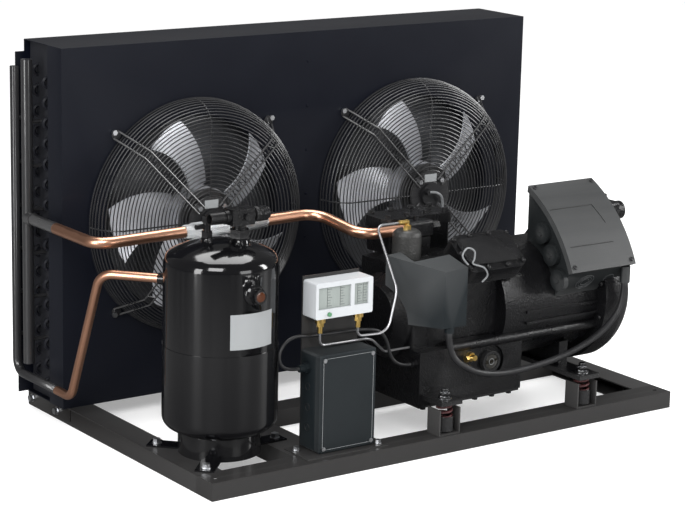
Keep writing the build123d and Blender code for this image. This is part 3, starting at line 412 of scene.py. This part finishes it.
def button_head(centre: Point, radius: float, height: float, axis: Point,
                sides: int = 24) -> Piece:
    """Model a disc with a bevelled rim, such as a rivet, a screw head or a low lens.

    Args:
        centre: The middle of its seat.
        radius: Its radius.
        height: How far it stands off the seat.
        axis: The direction in which it stands.
        sides: Steps round its rim.

    Returns:
        The mesh object.
    """
    deselect()
    normal = Vector(axis).normalized()
    place = Vector(centre) + normal * height / 2
    turn = normal.to_track_quat("Z", "Y").to_euler()
    bpy.ops.mesh.primitive_cylinder_add(vertices=sides, radius=radius, depth=height,
                                        location=place, rotation=turn)
    head = active()
    settle(head)
    apply_modifier(head, "BEVEL", width=height * RIM_SHARE, segments=RIM_STEPS,
                   limit_method="ANGLE")
    return head


def plate(low: Point, high: Point, softness: float) -> Piece:
    """Model a thin plate between two corners, with softened edges.

    Args:
        low: One corner.
        high: The opposite corner.
        softness: Width of the edge bevel.

    Returns:
        The mesh object.
    """
    deselect()
    centre = [(a + b) / 2 for a, b in zip(low, high)]
    bpy.ops.mesh.primitive_cube_add(size=1, location=centre)
    made = active()
    made.scale = [abs(b - a) for a, b in zip(low, high)]
    settle(made)
    apply_modifier(made, "BEVEL", width=softness, segments=2)
    return made


def smooth_line(points: list[Point]) -> list[Point]:
    """Run a smooth line through points.

    Args:
        points: The points that the line passes.

    Returns:
        The points along the line.
    """
    ends = [points[0], *points, points[-1]]
    line = []
    for a, b, c, d in zip(ends, ends[1:], ends[2:], ends[3:]):
        for step in range(LINE_STEPS):
            t = step / LINE_STEPS
            line.append(tuple(0.5 * ((2 * q) + (r - p) * t + (2 * p - 5 * q + 4 * r - s) * t * t
                        + (3 * q - p - 3 * r + s) * t ** 3) for p, q, r, s in zip(a, b, c, d)))
    return [*line, points[-1]]


def dress(obj: Piece, finish: Finish, smooth: bool = True) -> None:
    """Give a piece its finish, and let it ride on the unit.

    Args:
        obj: The piece's mesh object.
        finish: Its finish.
        smooth: Whether its round faces are shaded smooth.
    """
    obj.data.materials.clear()
    obj.data.materials.append(finish.material())
    if smooth:
        select_only(obj)
        bpy.ops.object.shade_smooth_by_angle(angle=SMOOTH_ANGLE)
    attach(obj, BODY)
    LOG.info("piece %s: %d vertices", obj.name, len(obj.data.vertices))


def smoothed(node: str, finish: Finish) -> None:
    """Stand a merged, smooth-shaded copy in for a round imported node.

    Args:
        node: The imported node's name.
        finish: Its finish.
    """
    source = frame["nodes"][node]
    copy = source.copy()
    copy.data = source.data.copy()
    copy.name = f"{node}_smooth"
    for key in list(copy.keys()):
        del copy[key]
    bpy.context.scene.collection.objects.link(copy)
    select_only(copy)
    bpy.ops.object.mode_set(mode="EDIT")
    bpy.ops.mesh.select_all(action="SELECT")
    bpy.ops.mesh.remove_doubles(threshold=MERGE_DISTANCE)
    bpy.ops.object.mode_set(mode="OBJECT")
    dress(copy, finish)
    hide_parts(node)


# ---- fans and coil
@dataclass
class FanFront:
    """The wire guard, ladder arms, motor label and motor lead of one fan."""

    side: str
    x: float
    z: float = 0.498
    front_y: float = 0.1435
    back_y: float = 0.2255
    wire_r: float = 0.0016
    rings: int = 22
    first_r: float = 0.034
    flat_r: float = 0.244
    rim_r: float = 0.299
    side_rings: int = 11
    spoke_inset: float = 0.001
    spoke_gap: float = 0.0024
    spoke_factor: float = 1.2
    arm_y: float = 0.140
    arm_start: float = 0.042
    arm_kink: float = 0.262
    arm_foot: float = 0.316
    arm_half: float = 0.011
    rail_r: float = 0.0024
    rungs: int = 17
    rung_start: float = 0.062
    rung_pitch: float = 0.0118
    foot_y: float = 0.2272
    foot_pad: Pair = (0.013, 0.0018)
    foot_screw: Pair = (0.0105, 0.004)
    label_low: Point = (-0.020, 0.1412, 0.033)
    label_high: Point = (0.020, 0.1418, 0.054)
    label_edge: float = 0.0002
    lead: tuple[Point, ...] = (
        (-0.012, 0.127, 0.008), (0.006, 0.122, 0.006), (0.024, 0.124, -0.006),
        (0.034, 0.130, -0.030), (0.040, 0.134, -0.060))
    lead_r: float = 0.0038

    def dish(self, share: float) -> Pair:
        """Return radius and depth on the rounded side, from 0 at its front to 1 at the panel."""
        angle = share * QUARTER
        return (self.flat_r + (self.rim_r - self.flat_r) * math.sin(angle),
                self.front_y + (self.back_y - self.front_y) * (1 - math.cos(angle)))

    def at(self, radius: float, angle: float, depth: float) -> Point:
        """Return the point at a radius and angle about the fan's axis."""
        return (self.x + radius * math.cos(angle), depth, self.z + radius * math.sin(angle))

    def beside(self, offset: Point) -> Point:
        """Return the point at a sideways and upward offset from the fan's axis."""
        return (self.x + offset[0], offset[1], self.z + offset[2])

    def guard(self) -> Piece:
        """Model every ring and the radial wires behind them.

        Returns:
            The guard as one piece.
        """
        pitch = (self.flat_r - self.first_r) / (self.rings - 1)
        rows = [(self.first_r + pitch * i, self.front_y) for i in range(self.rings)]
        rows += [self.dish((i + 1) / self.side_rings) for i in range(self.side_rings)]
        parts = [ring((self.x, depth, self.z), radius, self.wire_r) for radius, depth in rows]
        for quarter in range(4):
            line = [self.at(radius - self.spoke_inset, quarter * QUARTER, depth + self.spoke_gap)
                    for radius, depth in rows]
            parts.append(wire(line[::2] + line[-1:], self.wire_r * self.spoke_factor))
        return join(parts, f"guard_wires_{self.side}")

    def arm(self, angle: float) -> list[Piece]:
        """Model one ladder arm with two rails, zigzag rungs and a screwed foot.

        Args:
            angle: The arm's angle about the fan's axis.

        Returns:
            The arm's parts.
        """
        out = Vector((math.cos(angle), 0, math.sin(angle)))
        across = Vector((-math.sin(angle), 0, math.cos(angle)))
        hub = Vector((self.x, 0, self.z))
        line = [(self.arm_start, self.arm_y), (self.arm_kink, self.arm_y),
                (self.arm_foot, self.back_y)]
        parts = [wire([tuple(hub + out * r + across * sign * self.arm_half + Vector((0, y, 0)))
                       for r, y in line], self.rail_r) for sign in (-1, 1)]
        level = Vector((0, self.arm_y, 0))
        zigzag = [tuple(hub + out * (self.rung_start + i * self.rung_pitch) + level
                        + across * self.arm_half * (1 if i % 2 else -1))
                  for i in range(self.rungs)]
        foot = hub + out * self.arm_foot + Vector((0, self.foot_y, 0))
        top = foot - Vector((0, self.foot_pad[1], 0))
        return [*parts, wire(zigzag, self.wire_r),
                button_head(tuple(foot), *self.foot_pad, TOWARD_FRONT),
                button_head(tuple(top), *self.foot_screw, TOWARD_FRONT)]

    def build(self) -> None:
        """Build and dress this fan's front pieces."""
        guard = self.guard()
        arms = join([part for quarter in range(4)
                     for part in self.arm(math.pi / 4 + quarter * QUARTER)],
                    f"ladder_arms_{self.side}")
        dress(guard, WIRE_COAT)
        dress(arms, WIRE_COAT)
        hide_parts(f"fan_guard_{self.side}")
        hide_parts(f"fan_arms_{self.side}")
        label = plate(self.beside(self.label_low), self.beside(self.label_high),
                      self.label_edge)
        label.name = f"motor_label_{self.side}"
        dress(label, LABEL, smooth=False)
        line = smooth_line([self.beside(offset) for offset in self.lead])
        lead = join([wire(line, self.lead_r, 3)], f"motor_lead_{self.side}")
        dress(lead, GREY_CABLE)


@dataclass
class CoilEnd:
    """Round return bends on the left tube sheet."""

    x: float = -0.700
    rows: int = 16
    pitch: float = 0.0254
    radius: float = 0.005
    first_z: float = 0.085
    columns: tuple[float, ...] = (0.330, 0.380)
    steps: int = 8

    def build(self) -> None:
        """Build every bend in two staggered columns."""
        reach = self.pitch / 2
        parts = []
        for row in range(self.rows):
            for column, y in enumerate(self.columns):
                mid = self.first_z + row * 2 * self.pitch + column * self.pitch
                arc = [(self.x - reach * math.sin(math.pi * i / self.steps), y,
                        mid - reach * math.cos(math.pi * i / self.steps))
                       for i in range(self.steps + 1)]
                parts.append(wire(arc, self.radius, 1))
        bends = join(parts, "coil_return_bends")
        dress(bends, COIL_COAT)
        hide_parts("return_bends")


# ---- rigid pipes
@dataclass
class RigidPipe:
    """A rigid pipe in millimetres: straight runs joined by bends made on a pipe former."""

    runs: list[Point]
    bends: tuple[float, ...]
    radius: float
    step: float = math.radians(6)
    wide: float = 5

    def centreline(self) -> list[Point]:
        """Put a round bend at each corner between the straight runs.

        Returns:
            The points along the pipe, in metres.
        """
        corners = [Vector(point) * MM for point in self.runs]
        line = [tuple(corners[0])]
        for before, corner, after, bend in zip(corners, corners[1:], corners[2:], self.bends):
            back, ahead = (before - corner).normalized(), (after - corner).normalized()
            half = back.angle(ahead) / 2
            centre = corner + (back + ahead).normalized() * bend * MM / math.sin(half)
            start = corner + back * bend * MM / math.tan(half) - centre
            finish = corner + ahead * bend * MM / math.tan(half) - centre
            axis, turn = start.cross(finish).normalized(), math.pi - 2 * half
            steps = max(3, math.ceil(turn / self.step))
            line += [tuple(centre + Matrix.Rotation(turn * i / steps, 3, axis) @ start)
                     for i in range(steps + 1)]
        return [*line, tuple(corners[-1])]

    def model(self) -> Piece:
        """Model the round pipe along its centreline, with more sides on a wide one."""
        return wire(self.centreline(), self.radius * MM, 6 if self.radius > self.wide else 3)


@dataclass
class PipeGroup:
    """One packed pipe node made of one or more rigid pipes."""

    node: str
    pipes: tuple[RigidPipe, ...]
    finish: Finish
    slot: str

    def build(self) -> None:
        """Build the pipes and stand them in for their node."""
        group = join([pipe.model() for pipe in self.pipes], f"{self.node}_bent")
        dress(group, self.finish)
        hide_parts(self.node)


GAS_LEFT = RigidPipe([(-750, 315, 512), (-750, 0, 512), (-510, 0, 515.84)], (45,), 14)
GAS_RIGHT = RigidPipe([
    (-277, 0, 519.57), (-125, 0, 522), (-105, -170, 496), (30, -170, 496)], (55, 50), 14)
LIQUID = RigidPipe([
    (-750, 200, 105), (-750, 128, 105), (-750, -16, 446), (-655.8, -125.5, 446)], (40, 45), 11)
LOW_CAPILLARY = RigidPipe([
    (-352, -352, 325), (-352, -352, 294), (-200, -345, 290), (-135, -315, 240),
    (-60, -315, 240)], (14, 60, 22), 3)
HIGH_CAPILLARY = RigidPipe([
    (-243, -352, 325), (-243, -352, 303), (-165, -366, 303), (-128, -350, 400),
    (-112, -240, 534), (-46, -240, 534)], (12, 40, 60, 20), 3)
PIPE_GROUPS = (
    PipeGroup("gas_pipe_left", (GAS_LEFT,), COPPER, "copper"),
    PipeGroup("gas_pipe_right", (GAS_RIGHT,), COPPER, "copper"),
    PipeGroup("liquid_pipe", (LIQUID,), COPPER, "copper"),
    PipeGroup("capillaries", (LOW_CAPILLARY, HIGH_CAPILLARY), DULL_TUBE, "zinc"),
)


@dataclass
class PaintedPipeEnd:
    """The stretch of gas pipe that the header's paint covers."""

    x: float = -0.750
    z: float = 0.512
    start_y: float = 0.3145
    end_y: float = 0.200
    radius: float = 0.01435

    def build(self) -> None:
        """Cover the pipe's end with a thin painted sleeve."""
        line = [(self.x, self.start_y, self.z), (self.x, self.end_y, self.z)]
        sleeve = join([wire(line, self.radius, 6)], "painted_pipe_end")
        dress(sleeve, PIPE_PAINT)


# ---- receiver and controls
@dataclass
class ReceiverLabel:
    """A bare label wrapped round the receiver's shell."""

    centre: Pair = (-0.557, -0.241)
    radius: float = 0.1355
    start_deg: float = 247.0
    end_deg: float = 297.0
    low: float = 0.322
    high: float = 0.405
    paper: float = 0.0004

    def build(self) -> None:
        """Wrap a grid round the shell and give it a thickness."""
        deselect()
        bpy.ops.mesh.primitive_grid_add(x_subdivisions=28, y_subdivisions=4, size=1)
        label = active()
        for vertex in label.data.vertices:
            share, rise = vertex.co.x + 0.5, vertex.co.y + 0.5
            angle = math.radians(self.start_deg + share * (self.end_deg - self.start_deg))
            vertex.co = (self.centre[0] + self.radius * math.cos(angle),
                         self.centre[1] + self.radius * math.sin(angle),
                         self.low + rise * (self.high - self.low))
        apply_modifier(label, "SOLIDIFY", thickness=self.paper)
        label.name = "receiver_blank_label"
        dress(label, LABEL)


@dataclass
class BoxFront:
    """The junction box's border line, side knock-outs drawn as rings coloured with painted shade,
    and the switch's scales.
    """

    x0: float = -0.385
    x1: float = -0.224
    y: float = -0.4052
    z0: float = 0.046
    z1: float = 0.285
    inset: float = 0.009
    border_r: float = 0.0006
    knock_lift: float = 0.0002
    knock_y: float = -0.354
    knock_heights: tuple[float, ...] = (0.10, 0.15, 0.20)
    knock_ring: Pair = (0.0085, 0.0007)
    windows: tuple[Pair, ...] = ((-0.375, 0.092), (-0.273, 0.040))
    columns: tuple[float, ...] = (0.3, 0.7)
    ink_y: Pair = (-0.3743, -0.3740)
    ink_edge: float = 0.00008
    marks: int = 7
    mark_z: float = 0.394
    mark_pitch: float = 0.0066
    mark_height: float = 0.0007
    mark_widths: Pair = (0.012, 0.008)
    line_x: Pair = (-0.0014, -0.0006)
    line_z: Pair = (0.391, 0.437)

    def scale(self, x: float) -> list[Piece]:
        """Model one scale, with long and short marks beside an upright line.

        Args:
            x: Where its marks start.

        Returns:
            The scale's parts.
        """
        front, back = self.ink_y
        parts = []
        for i in range(self.marks):
            z, width = self.mark_z + i * self.mark_pitch, self.mark_widths[1 if i % 3 else 0]
            parts.append(plate((x, front, z), (x + width, back, z + self.mark_height),
                               self.ink_edge))
        parts.append(plate((x + self.line_x[0], front, self.line_z[0]),
                           (x + self.line_x[1], back, self.line_z[1]), self.ink_edge))
        return parts

    def build(self) -> None:
        """Build the thin border, the side knock-out rings coloured with painted shade, and the
        scales.
        """
        left, right = self.x0 + self.inset, self.x1 - self.inset
        low, high = self.z0 + self.inset, self.z1 - self.inset
        corners = [(left, self.y, low), (right, self.y, low), (right, self.y, high),
                   (left, self.y, high)]
        border = join([wire(corners, self.border_r, 1, True)], "box_border_line")
        dress(border, LABEL)
        # Each knock-out is a thin raised ring whose near-black colour is painted shade for the
        # shade in its pressed groove.
        outs = [ring((self.x0 - self.knock_lift, self.knock_y, z), *self.knock_ring,
                     Facing.ALONG_X, 28) for z in self.knock_heights]
        dress(join(outs, "box_knock_out_shade"), PRINT_AND_GROOVE_SHADE)
        marks = [part for start, width in self.windows for share in self.columns
                 for part in self.scale(start + width * share)]
        dress(join(marks, "switch_scale_marks"), PRINT_AND_GROOVE_SHADE, smooth=False)


# ---- compressor
@dataclass
class TerminalTrim:
    """Painted shade lines for the lid grooves, lid screws and round knock-outs on the terminal
    box.
    """

    x0: float = 0.354
    x1: float = 0.566
    arc_top: Pair = (-0.248, 0.589)
    arc_low: Pair = (-0.432, 0.399)
    bulge: float = 0.024
    line_lift: float = 0.0004
    line_r: float = 0.0009
    grooves: tuple[tuple[Pair, ...], ...] = (
        ((0.362, 0.34), (0.500, 0.34), (0.513, 0.56)), ((0.372, 0.76), (0.512, 0.76)))
    face_middle: Pair = (-0.3908, 0.3594)
    face_slope: Pair = (0.6336, -0.7735)
    circles: tuple[Pair, ...] = (
        (0.432, 0.026), (0.432, 0.019), (0.432, 0.012), (0.512, 0.015))
    circle_steps: int = 32
    screw_inset: float = 0.012
    screw_shares: Pair = (0.045, 0.955)
    screw: Pair = (0.006, 0.004)
    screw_axis: Point = (0, -0.7, 0.72)

    def on_lid(self, share: float, lift: float) -> Pair:
        """Find a place on the lid's arc.

        Args:
            share: How far down the arc it is, from 0 at the top edge to 1 at the front edge.
            lift: How far it stands off the lid.

        Returns:
            Its depth and height.
        """
        (y0, z0), (y1, z1) = self.arc_top, self.arc_low
        chord = math.hypot(y1 - y0, z1 - z0)
        out = Vector(((z1 - z0) / chord, -(y1 - y0) / chord))
        radius = (chord ** 2 / 4 + self.bulge ** 2) / (2 * self.bulge)
        along = (share - 0.5) * chord
        rise = math.sqrt(radius ** 2 - along ** 2) - (radius - self.bulge) + lift
        return (y0 + (y1 - y0) * share + out.x * rise, z0 + (z1 - z0) * share + out.y * rise)

    def lid_line(self, points: tuple[Pair, ...]) -> Piece:
        """Model a thin near-black line just over the lid, painted shade that stands in for a
        groove.

        Args:
            points: Its corners, each a sideways place and a share of the lid's arc.

        Returns:
            The line as a mesh.
        """
        line = [(xa + (xb - xa) * i / LINE_STEPS,
                 *self.on_lid(sa + (sb - sa) * i / LINE_STEPS, self.line_lift))
                for (xa, sa), (xb, sb) in zip(points, points[1:]) for i in range(LINE_STEPS)]
        x, share = points[-1]
        return wire([*line, (x, *self.on_lid(share, self.line_lift))], self.line_r, 1)

    def knock_outs(self) -> Piece:
        """Model the round knock-outs on the sloping face under the lid.

        Returns:
            Their rims as one piece.
        """
        across, along = Vector((1, 0, 0)), Vector((0, *self.face_slope))
        turns = [math.tau * i / self.circle_steps for i in range(self.circle_steps)]
        rims = []
        for x, radius in self.circles:
            middle = Vector((x, *self.face_middle))
            rims.append(wire([tuple(middle + across * radius * math.cos(turn)
                                    + along * radius * math.sin(turn)) for turn in turns],
                             self.line_r, 1, True))
        return join(rims, "terminal_knock_outs")

    def build(self) -> None:
        """Build the knock-outs, the painted shade lines of the lid's grooves and its corner
        screws.
        """
        dress(self.knock_outs(), RIM_GREY)
        # The grooves are raised near-black lines: painted shade in place of cut grooves.
        lines = [self.lid_line(points) for points in self.grooves]
        dress(join(lines, "terminal_lid_groove_shade"), PRINT_AND_GROOVE_SHADE)
        screws = [button_head((x, *self.on_lid(share, 0.0)), *self.screw, self.screw_axis)
                  for x in (self.x0 + self.screw_inset, self.x1 - self.screw_inset)
                  for share in self.screw_shares]
        dress(join(screws, "terminal_lid_screws"), MOTOR_PAINT)


@dataclass
class CompressorTrim:
    """Head bolts, end cover bolts and the loose lead on the compressor."""

    head_centre: Point = (0.160, -0.307, 0.424)
    head_normal: Point = (0.0, -0.62, 0.785)
    head_rise: float = 0.046
    head_places: tuple[Pair, ...] = (
        (-0.084, 0.045), (-0.03, 0.050), (0.03, 0.050), (0.084, 0.045), (0.086, 0.0),
        (0.084, -0.045), (0.03, -0.050), (-0.03, -0.050), (-0.084, -0.045), (-0.086, 0.0))
    head_bolt: Pair = (0.0065, 0.008)
    cover_centre: Point = (0.4994, -0.215, 0.300)
    cover_r: float = 0.172
    cover_count: int = 12
    cover_bolt: Pair = (0.0085, 0.008)
    hidden_behind: float = -0.25
    hidden_above: float = 0.36
    lead: tuple[Point, ...] = (
        (0.045, -0.402, 0.452), (0.030, -0.398, 0.474), (0.050, -0.390, 0.490),
        (0.074, -0.388, 0.480), (0.070, -0.394, 0.462), (0.062, -0.400, 0.452),
        (0.092, -0.405, 0.440), (0.108, -0.400, 0.418), (0.100, -0.390, 0.400))
    lead_r: float = 0.0022

    def head_bolts(self) -> list[Piece]:
        """Model the hexagon heads round the front cylinder head.

        Returns:
            The bolt heads.
        """
        normal = Vector(self.head_normal).normalized()
        across, along = Vector((1, 0, 0)), normal.cross(Vector((1, 0, 0)))
        seat = Vector(self.head_centre) + normal * self.head_rise
        return [button_head(tuple(seat + across * u + along * v), *self.head_bolt,
                            tuple(normal), 6) for u, v in self.head_places]

    def cover_bolts(self) -> list[Piece]:
        """Model the hexagon heads round the end cover, save those that the terminal box hides.

        Returns:
            The bolt heads.
        """
        x, mid_y, mid_z = self.cover_centre
        heads = []
        for i in range(self.cover_count):
            angle = math.radians((i + 0.5) * 360 / self.cover_count)
            y = mid_y + self.cover_r * math.cos(angle)
            z = mid_z + self.cover_r * math.sin(angle)
            if z < self.hidden_above or y > self.hidden_behind:
                heads.append(button_head((x, y, z), *self.cover_bolt, (-1, 0, 0), 6))
        return heads

    def build(self) -> None:
        """Build the bolts on the front head and the end cover, and the loose lead."""
        bolts = join(self.head_bolts() + self.cover_bolts(), "casting_bolts")
        dress(bolts, CAST_PAINT)
        line = smooth_line(list(self.lead))
        dress(join([wire(line, self.lead_r, 2)], "sensor_lead_loop"), GREY_CABLE)


@dataclass
class SightGlasses:
    """The amber lens on the receiver and the dark oil lens on the crankcase."""

    receiver: Point = (-0.557, -0.4090, 0.450)
    crankcase: Point = (0.160, -0.3640, 0.184)
    receiver_r: float = 0.0116
    crankcase_r: float = 0.0186
    rise: float = 0.0013
    level_ring: Pair = (0.0075, 0.0007)

    def build(self) -> None:
        """Set a low lens in each ring, with a level ring on the oil lens."""
        amber = button_head(self.receiver, self.receiver_r, self.rise, TOWARD_FRONT, 40)
        amber.name = "receiver_sight_lens"
        dress(amber, AMBER_LENS)
        oil = button_head(self.crankcase, self.crankcase_r, self.rise, TOWARD_FRONT, 48)
        oil.name = "oil_sight_lens"
        dress(oil, DARK_LENS)
        x, y, z = self.crankcase
        level = ring((x, y - self.rise, z), *self.level_ring, Facing.ALONG_Y, 32)
        dress(join([level], "oil_level_ring"), GREY_CABLE)


FOOT_PLACES = [(x, y) for x in (-0.020, 0.420) for y in (-0.410, -0.030)]


@dataclass
class FootSprings:
    """Open coil springs under the compressor's feet."""

    low: float = 0.050
    high: float = 0.115
    turns: int = 5
    turn_steps: int = 16
    radius: float = 0.0180
    wire_r: float = 0.0030

    def spring(self, x: float, y: float) -> Piece:
        """Wind one spring round the axis of the foot at x and y."""
        count, step = self.turns * self.turn_steps, self.turn_steps / 2
        return wire([(x + self.radius * math.cos(i * math.pi / step),
                      y + self.radius * math.sin(i * math.pi / step),
                      self.low + (self.high - self.low) * i / count)
                     for i in range(count + 1)], self.wire_r)

    def build(self) -> None:
        """Stand a spring under each foot."""
        springs = join([self.spring(x, y) for x, y in FOOT_PLACES], "foot_springs")
        dress(springs, SPRING_RED)
        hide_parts("mount_springs")


@dataclass
class FootNuts:
    """Black dome nuts over the studs of the spring feet, and a cup round each spring."""

    seat: float = 0.130
    stack: tuple[Point, ...] = (
        (0.0176, 0.0, 0.0046), (0.0136, 0.0040, 0.0128), (0.0092, 0.0160, 0.0090))
    cup_radius: float = 0.0232
    cup_low: float = 0.0505
    cup_high: float = 0.086
    cup_sheet: float = 0.0015
    rim_inset: float = 0.0007
    rim_r: float = 0.0013
    sides: int = 40

    def cup(self, x: float, y: float) -> Piece:
        """Model an open pressed cup with a rolled rim.

        Args:
            x: The foot's place sideways.
            y: The foot's place in depth.

        Returns:
            The cup.
        """
        deselect()
        middle = (x, y, (self.cup_low + self.cup_high) / 2)
        bpy.ops.mesh.primitive_cylinder_add(
            vertices=self.sides, radius=self.cup_radius, depth=self.cup_high - self.cup_low,
            end_fill_type="NOTHING", location=middle)
        wall = active()
        settle(wall)
        apply_modifier(wall, "SOLIDIFY", thickness=self.cup_sheet, offset=-1.0)
        rim = ring((x, y, self.cup_high), self.cup_radius - self.rim_inset, self.rim_r,
                   Facing.ALONG_Z, self.sides)
        return join([wall, rim], "cup")

    def build(self) -> None:
        """Stack a washer, a nut and a dome on each stud, and stand a cup round each spring."""
        parts, cups = [], []
        for x, y in FOOT_PLACES:
            parts += [button_head((x, y, self.seat + low), radius, height, (0, 0, 1))
                      for radius, low, height in self.stack]
            cups.append(self.cup(x, y))
        dress(join(parts, "foot_dome_nuts"), CAST_PAINT)
        dress(join(cups, "spring_cups"), CAST_PAINT)


@dataclass
class PanelTrim:
    """A column of low rivets between the fans."""

    y: float = 0.229
    x: float = 0.0
    heights: tuple[float, ...] = (0.17, 0.286, 0.402, 0.518, 0.634, 0.75, 0.866)
    rivet: Pair = (0.0035, 0.0014)

    def build(self) -> None:
        """Set the rivets in the panel."""
        rivets = [button_head((self.x, self.y, z), *self.rivet, TOWARD_FRONT, 16)
                  for z in self.heights]
        dress(join(rivets, "panel_rivets"), PANEL_PAINT)


# ---- cords
@dataclass
class Cord:
    """A flexible cord along given control points in millimetres."""

    name: str
    node: str
    points: list[Point]
    radius: float
    stiffness: str

    def build(self) -> None:
        """Lay the cord as a smooth round spline that rides on the unit and stands in for its
        node.
        """
        curve = bpy.data.curves.new(self.name, "CURVE")
        curve.dimensions = "3D"
        spline = curve.splines.new("NURBS")
        spline.points.add(len(self.points) - 1)
        for place, point in zip(spline.points, self.points):
            place.co = (*[value * MM for value in point], 1.0)
        spline.order_u = 3
        spline.use_endpoint_u = True
        curve.resolution_u = CORD_STEPS
        obj = add_object(self.name, curve)
        bpy.context.view_layer.update()
        line = bpy.data.meshes.new_from_object(obj)
        bpy.data.meshes.remove(line)
        curve.bevel_depth, curve.bevel_resolution = self.radius, CORD_SIDES
        curve.use_fill_caps = True
        curve.materials.append(RUBBER.material())
        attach(obj, BODY)
        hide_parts(self.node)


CONTROL_CABLE = [(-411, -354, 247), (-456, -354, 247), (-470, -350, 290), (-430, -344, 326),
                 (-353, -335, 314), (-215, -335, 313), (-150, -338, 298), (-130, -342, 206),
                 (-76, -342, 206)]
CONDUIT = [(5, -388, 285), (5, -388, 225), (60, -416, 185), (120, -416, 170), (180, -416, 166),
           (268, -416, 171), (360, -416, 185), (449, -416, 214), (505, -416, 250),
           (545, -416, 296), (545, -416, 350)]
CORDS = (
    Cord("control_cable_run", "control_cable", CONTROL_CABLE, 0.004, "limp"),
    Cord("conduit_run", "conduit", CONDUIT, 0.008, "medium"),
)


# ---- studio
@dataclass(frozen=True)
class Lamp:
    """One soft area light aimed at the unit's middle; tall makes it a strip."""

    name: str
    place: Point
    size: float
    power: float
    tall: float = 0.0
    target: Point = (0.0, 0.0, 0.4)

    def build(self) -> None:
        """Add the light to the scene."""
        data = bpy.data.lights.new(self.name, "AREA")
        data.energy, data.size = self.power, self.size
        if self.tall:
            data.shape, data.size_y = "RECTANGLE", self.tall
        lamp = add_object(self.name, data)
        aim = Vector(self.target) - Vector(self.place)
        turn = aim.to_track_quat("-Z", "Y").to_matrix()
        lamp.matrix_world = Matrix.Translation(self.place) @ turn.to_4x4()


LAMPS = (
    Lamp("key_soft_box", (-3.2, -3.0, 3.4), 2.2, 190),
    Lamp("side_strip", (3.4, -2.2, 1.8), 0.8, 120, 2.4),
    Lamp("top_soft_box", (0.4, 0.8, 4.0), 2.6, 130),
    Lamp("low_front", (0.6, -4.2, 0.9), 1.6, 45),
    Lamp("left_strip", (-4.2, -1.0, 1.2), 0.9, 90, 2.6),
)


def dim_for_gloss(tree: bpy.types.NodeTree, share: float) -> bpy.types.NodeSocket:
    """Give 1 for plain rays and a share of it for mirrored ones, as black flags round a set do.

    Args:
        tree: The node tree to build in.
        share: The brightness left for mirrored rays.

    Returns:
        The socket that carries the brightness.
    """
    path, scale = tree.nodes.new("ShaderNodeLightPath"), add_math(tree.nodes, "MULTIPLY_ADD")
    tree.links.new(path.outputs["Is Glossy Ray"], scale.inputs[0])
    scale.inputs[1].default_value = share - 1.0
    scale.inputs[2].default_value = 1.0
    return scale.outputs[0]


@dataclass
class Studio:
    """Camera, pale floor, white sky and soft lights."""

    place: Point = (-3.285, -4.534, 1.710)
    right: Point = (0.8161, -0.5775, 0.0224)
    upward: Point = (0.1145, 0.1995, 0.9733)
    forward: Point = (0.5666, 0.7917, -0.2289)
    lens: float = 118.75
    sensor: float = 36.0
    view_depth: float = 60.0
    floor_size: float = 40
    floor_z: float = -0.0005
    floor_glow: float = 0.35
    floor_in_gloss: float = 0.14
    sky_in_gloss: float = 0.14

    def camera(self) -> None:
        """Stand the camera and make it the scene's."""
        camera = add_object("camera", bpy.data.cameras.new("camera"))
        camera.data.lens, camera.data.sensor_width = self.lens, self.sensor
        camera.data.clip_end = self.view_depth
        turn = Matrix((self.right, self.upward, [-value for value in self.forward])).transposed()
        camera.matrix_world = Matrix.Translation(self.place) @ turn.to_4x4()
        bpy.context.scene.camera = camera

    def floor(self) -> None:
        """Lay a pale floor that glows a little and is dimmed in mirrored rays."""
        deselect()
        bpy.ops.mesh.primitive_plane_add(size=self.floor_size, location=(0, 0, self.floor_z))
        floor = active()
        floor.name = "studio_floor"
        material = FLOOR_PAINT.material()
        floor.data.materials.append(material)
        tree = material.node_tree
        shader = tree.nodes["Principled BSDF"]
        shader.inputs["Emission Color"].default_value = (1.0, 1.0, 1.0, 1.0)
        glow = add_math(tree.nodes, "MULTIPLY")
        glow.inputs[1].default_value = self.floor_glow
        tree.links.new(dim_for_gloss(tree, 0.0), glow.inputs[0])
        tree.links.new(glow.outputs[0], shader.inputs["Emission Strength"])
        shade = tree.nodes.new("ShaderNodeVectorMath")
        shade.operation = "SCALE"
        tree.links.new(shader.inputs["Base Color"].links[0].from_socket, shade.inputs[0])
        tree.links.new(dim_for_gloss(tree, self.floor_in_gloss), shade.inputs["Scale"])
        tree.links.new(shade.outputs["Vector"], shader.inputs["Base Color"])

    def sky(self) -> None:
        """Set a white sky that is dimmed in mirrored rays."""
        world = bpy.data.worlds.new("studio")
        world.use_nodes = True
        tree = world.node_tree
        background = tree.nodes["Background"]
        background.inputs["Color"].default_value = (1.0, 1.0, 1.0, 1)
        tree.links.new(dim_for_gloss(tree, self.sky_in_gloss), background.inputs["Strength"])
        bpy.context.scene.world = world

    def build(self) -> None:
        """Set the camera, the floor, the sky and the lights."""
        self.camera()
        self.floor()
        self.sky()
        for lamp in LAMPS:
            lamp.build()
        bpy.context.scene.view_settings.view_transform = "Standard"


# ---- whole unit
def dress_nodes() -> None:
    """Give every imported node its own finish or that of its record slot."""
    slots = {part["node"]: part["material_slot"] for part in frame["record"]["subparts"]}
    for name, obj in frame["nodes"].items():
        finish = NODE_FINISH.get(name, SLOT_FINISH[slots[name]])
        for material_slot in obj.material_slots:
            material_slot.material = finish.material()
        LOG.info("node %s: %s", name, finish.name)


def main() -> None:
    """Dress the nodes, build each sub-assembly, then light the scene."""
    logging.basicConfig(level=logging.INFO)
    dress_nodes()
    for node, (finish, slot) in ROUND_NODES.items():
        smoothed(node, finish)
    for assembly in (FanFront("left", -0.344), FanFront("right", 0.344), *PIPE_GROUPS,
                     CoilEnd(), PaintedPipeEnd(), FootSprings(), ReceiverLabel(), BoxFront(),
                     TerminalTrim(), CompressorTrim(), SightGlasses(), FootNuts(), PanelTrim(),
                     *CORDS, Studio()):
        assembly.build()


if __name__ == "__main__":
    main()
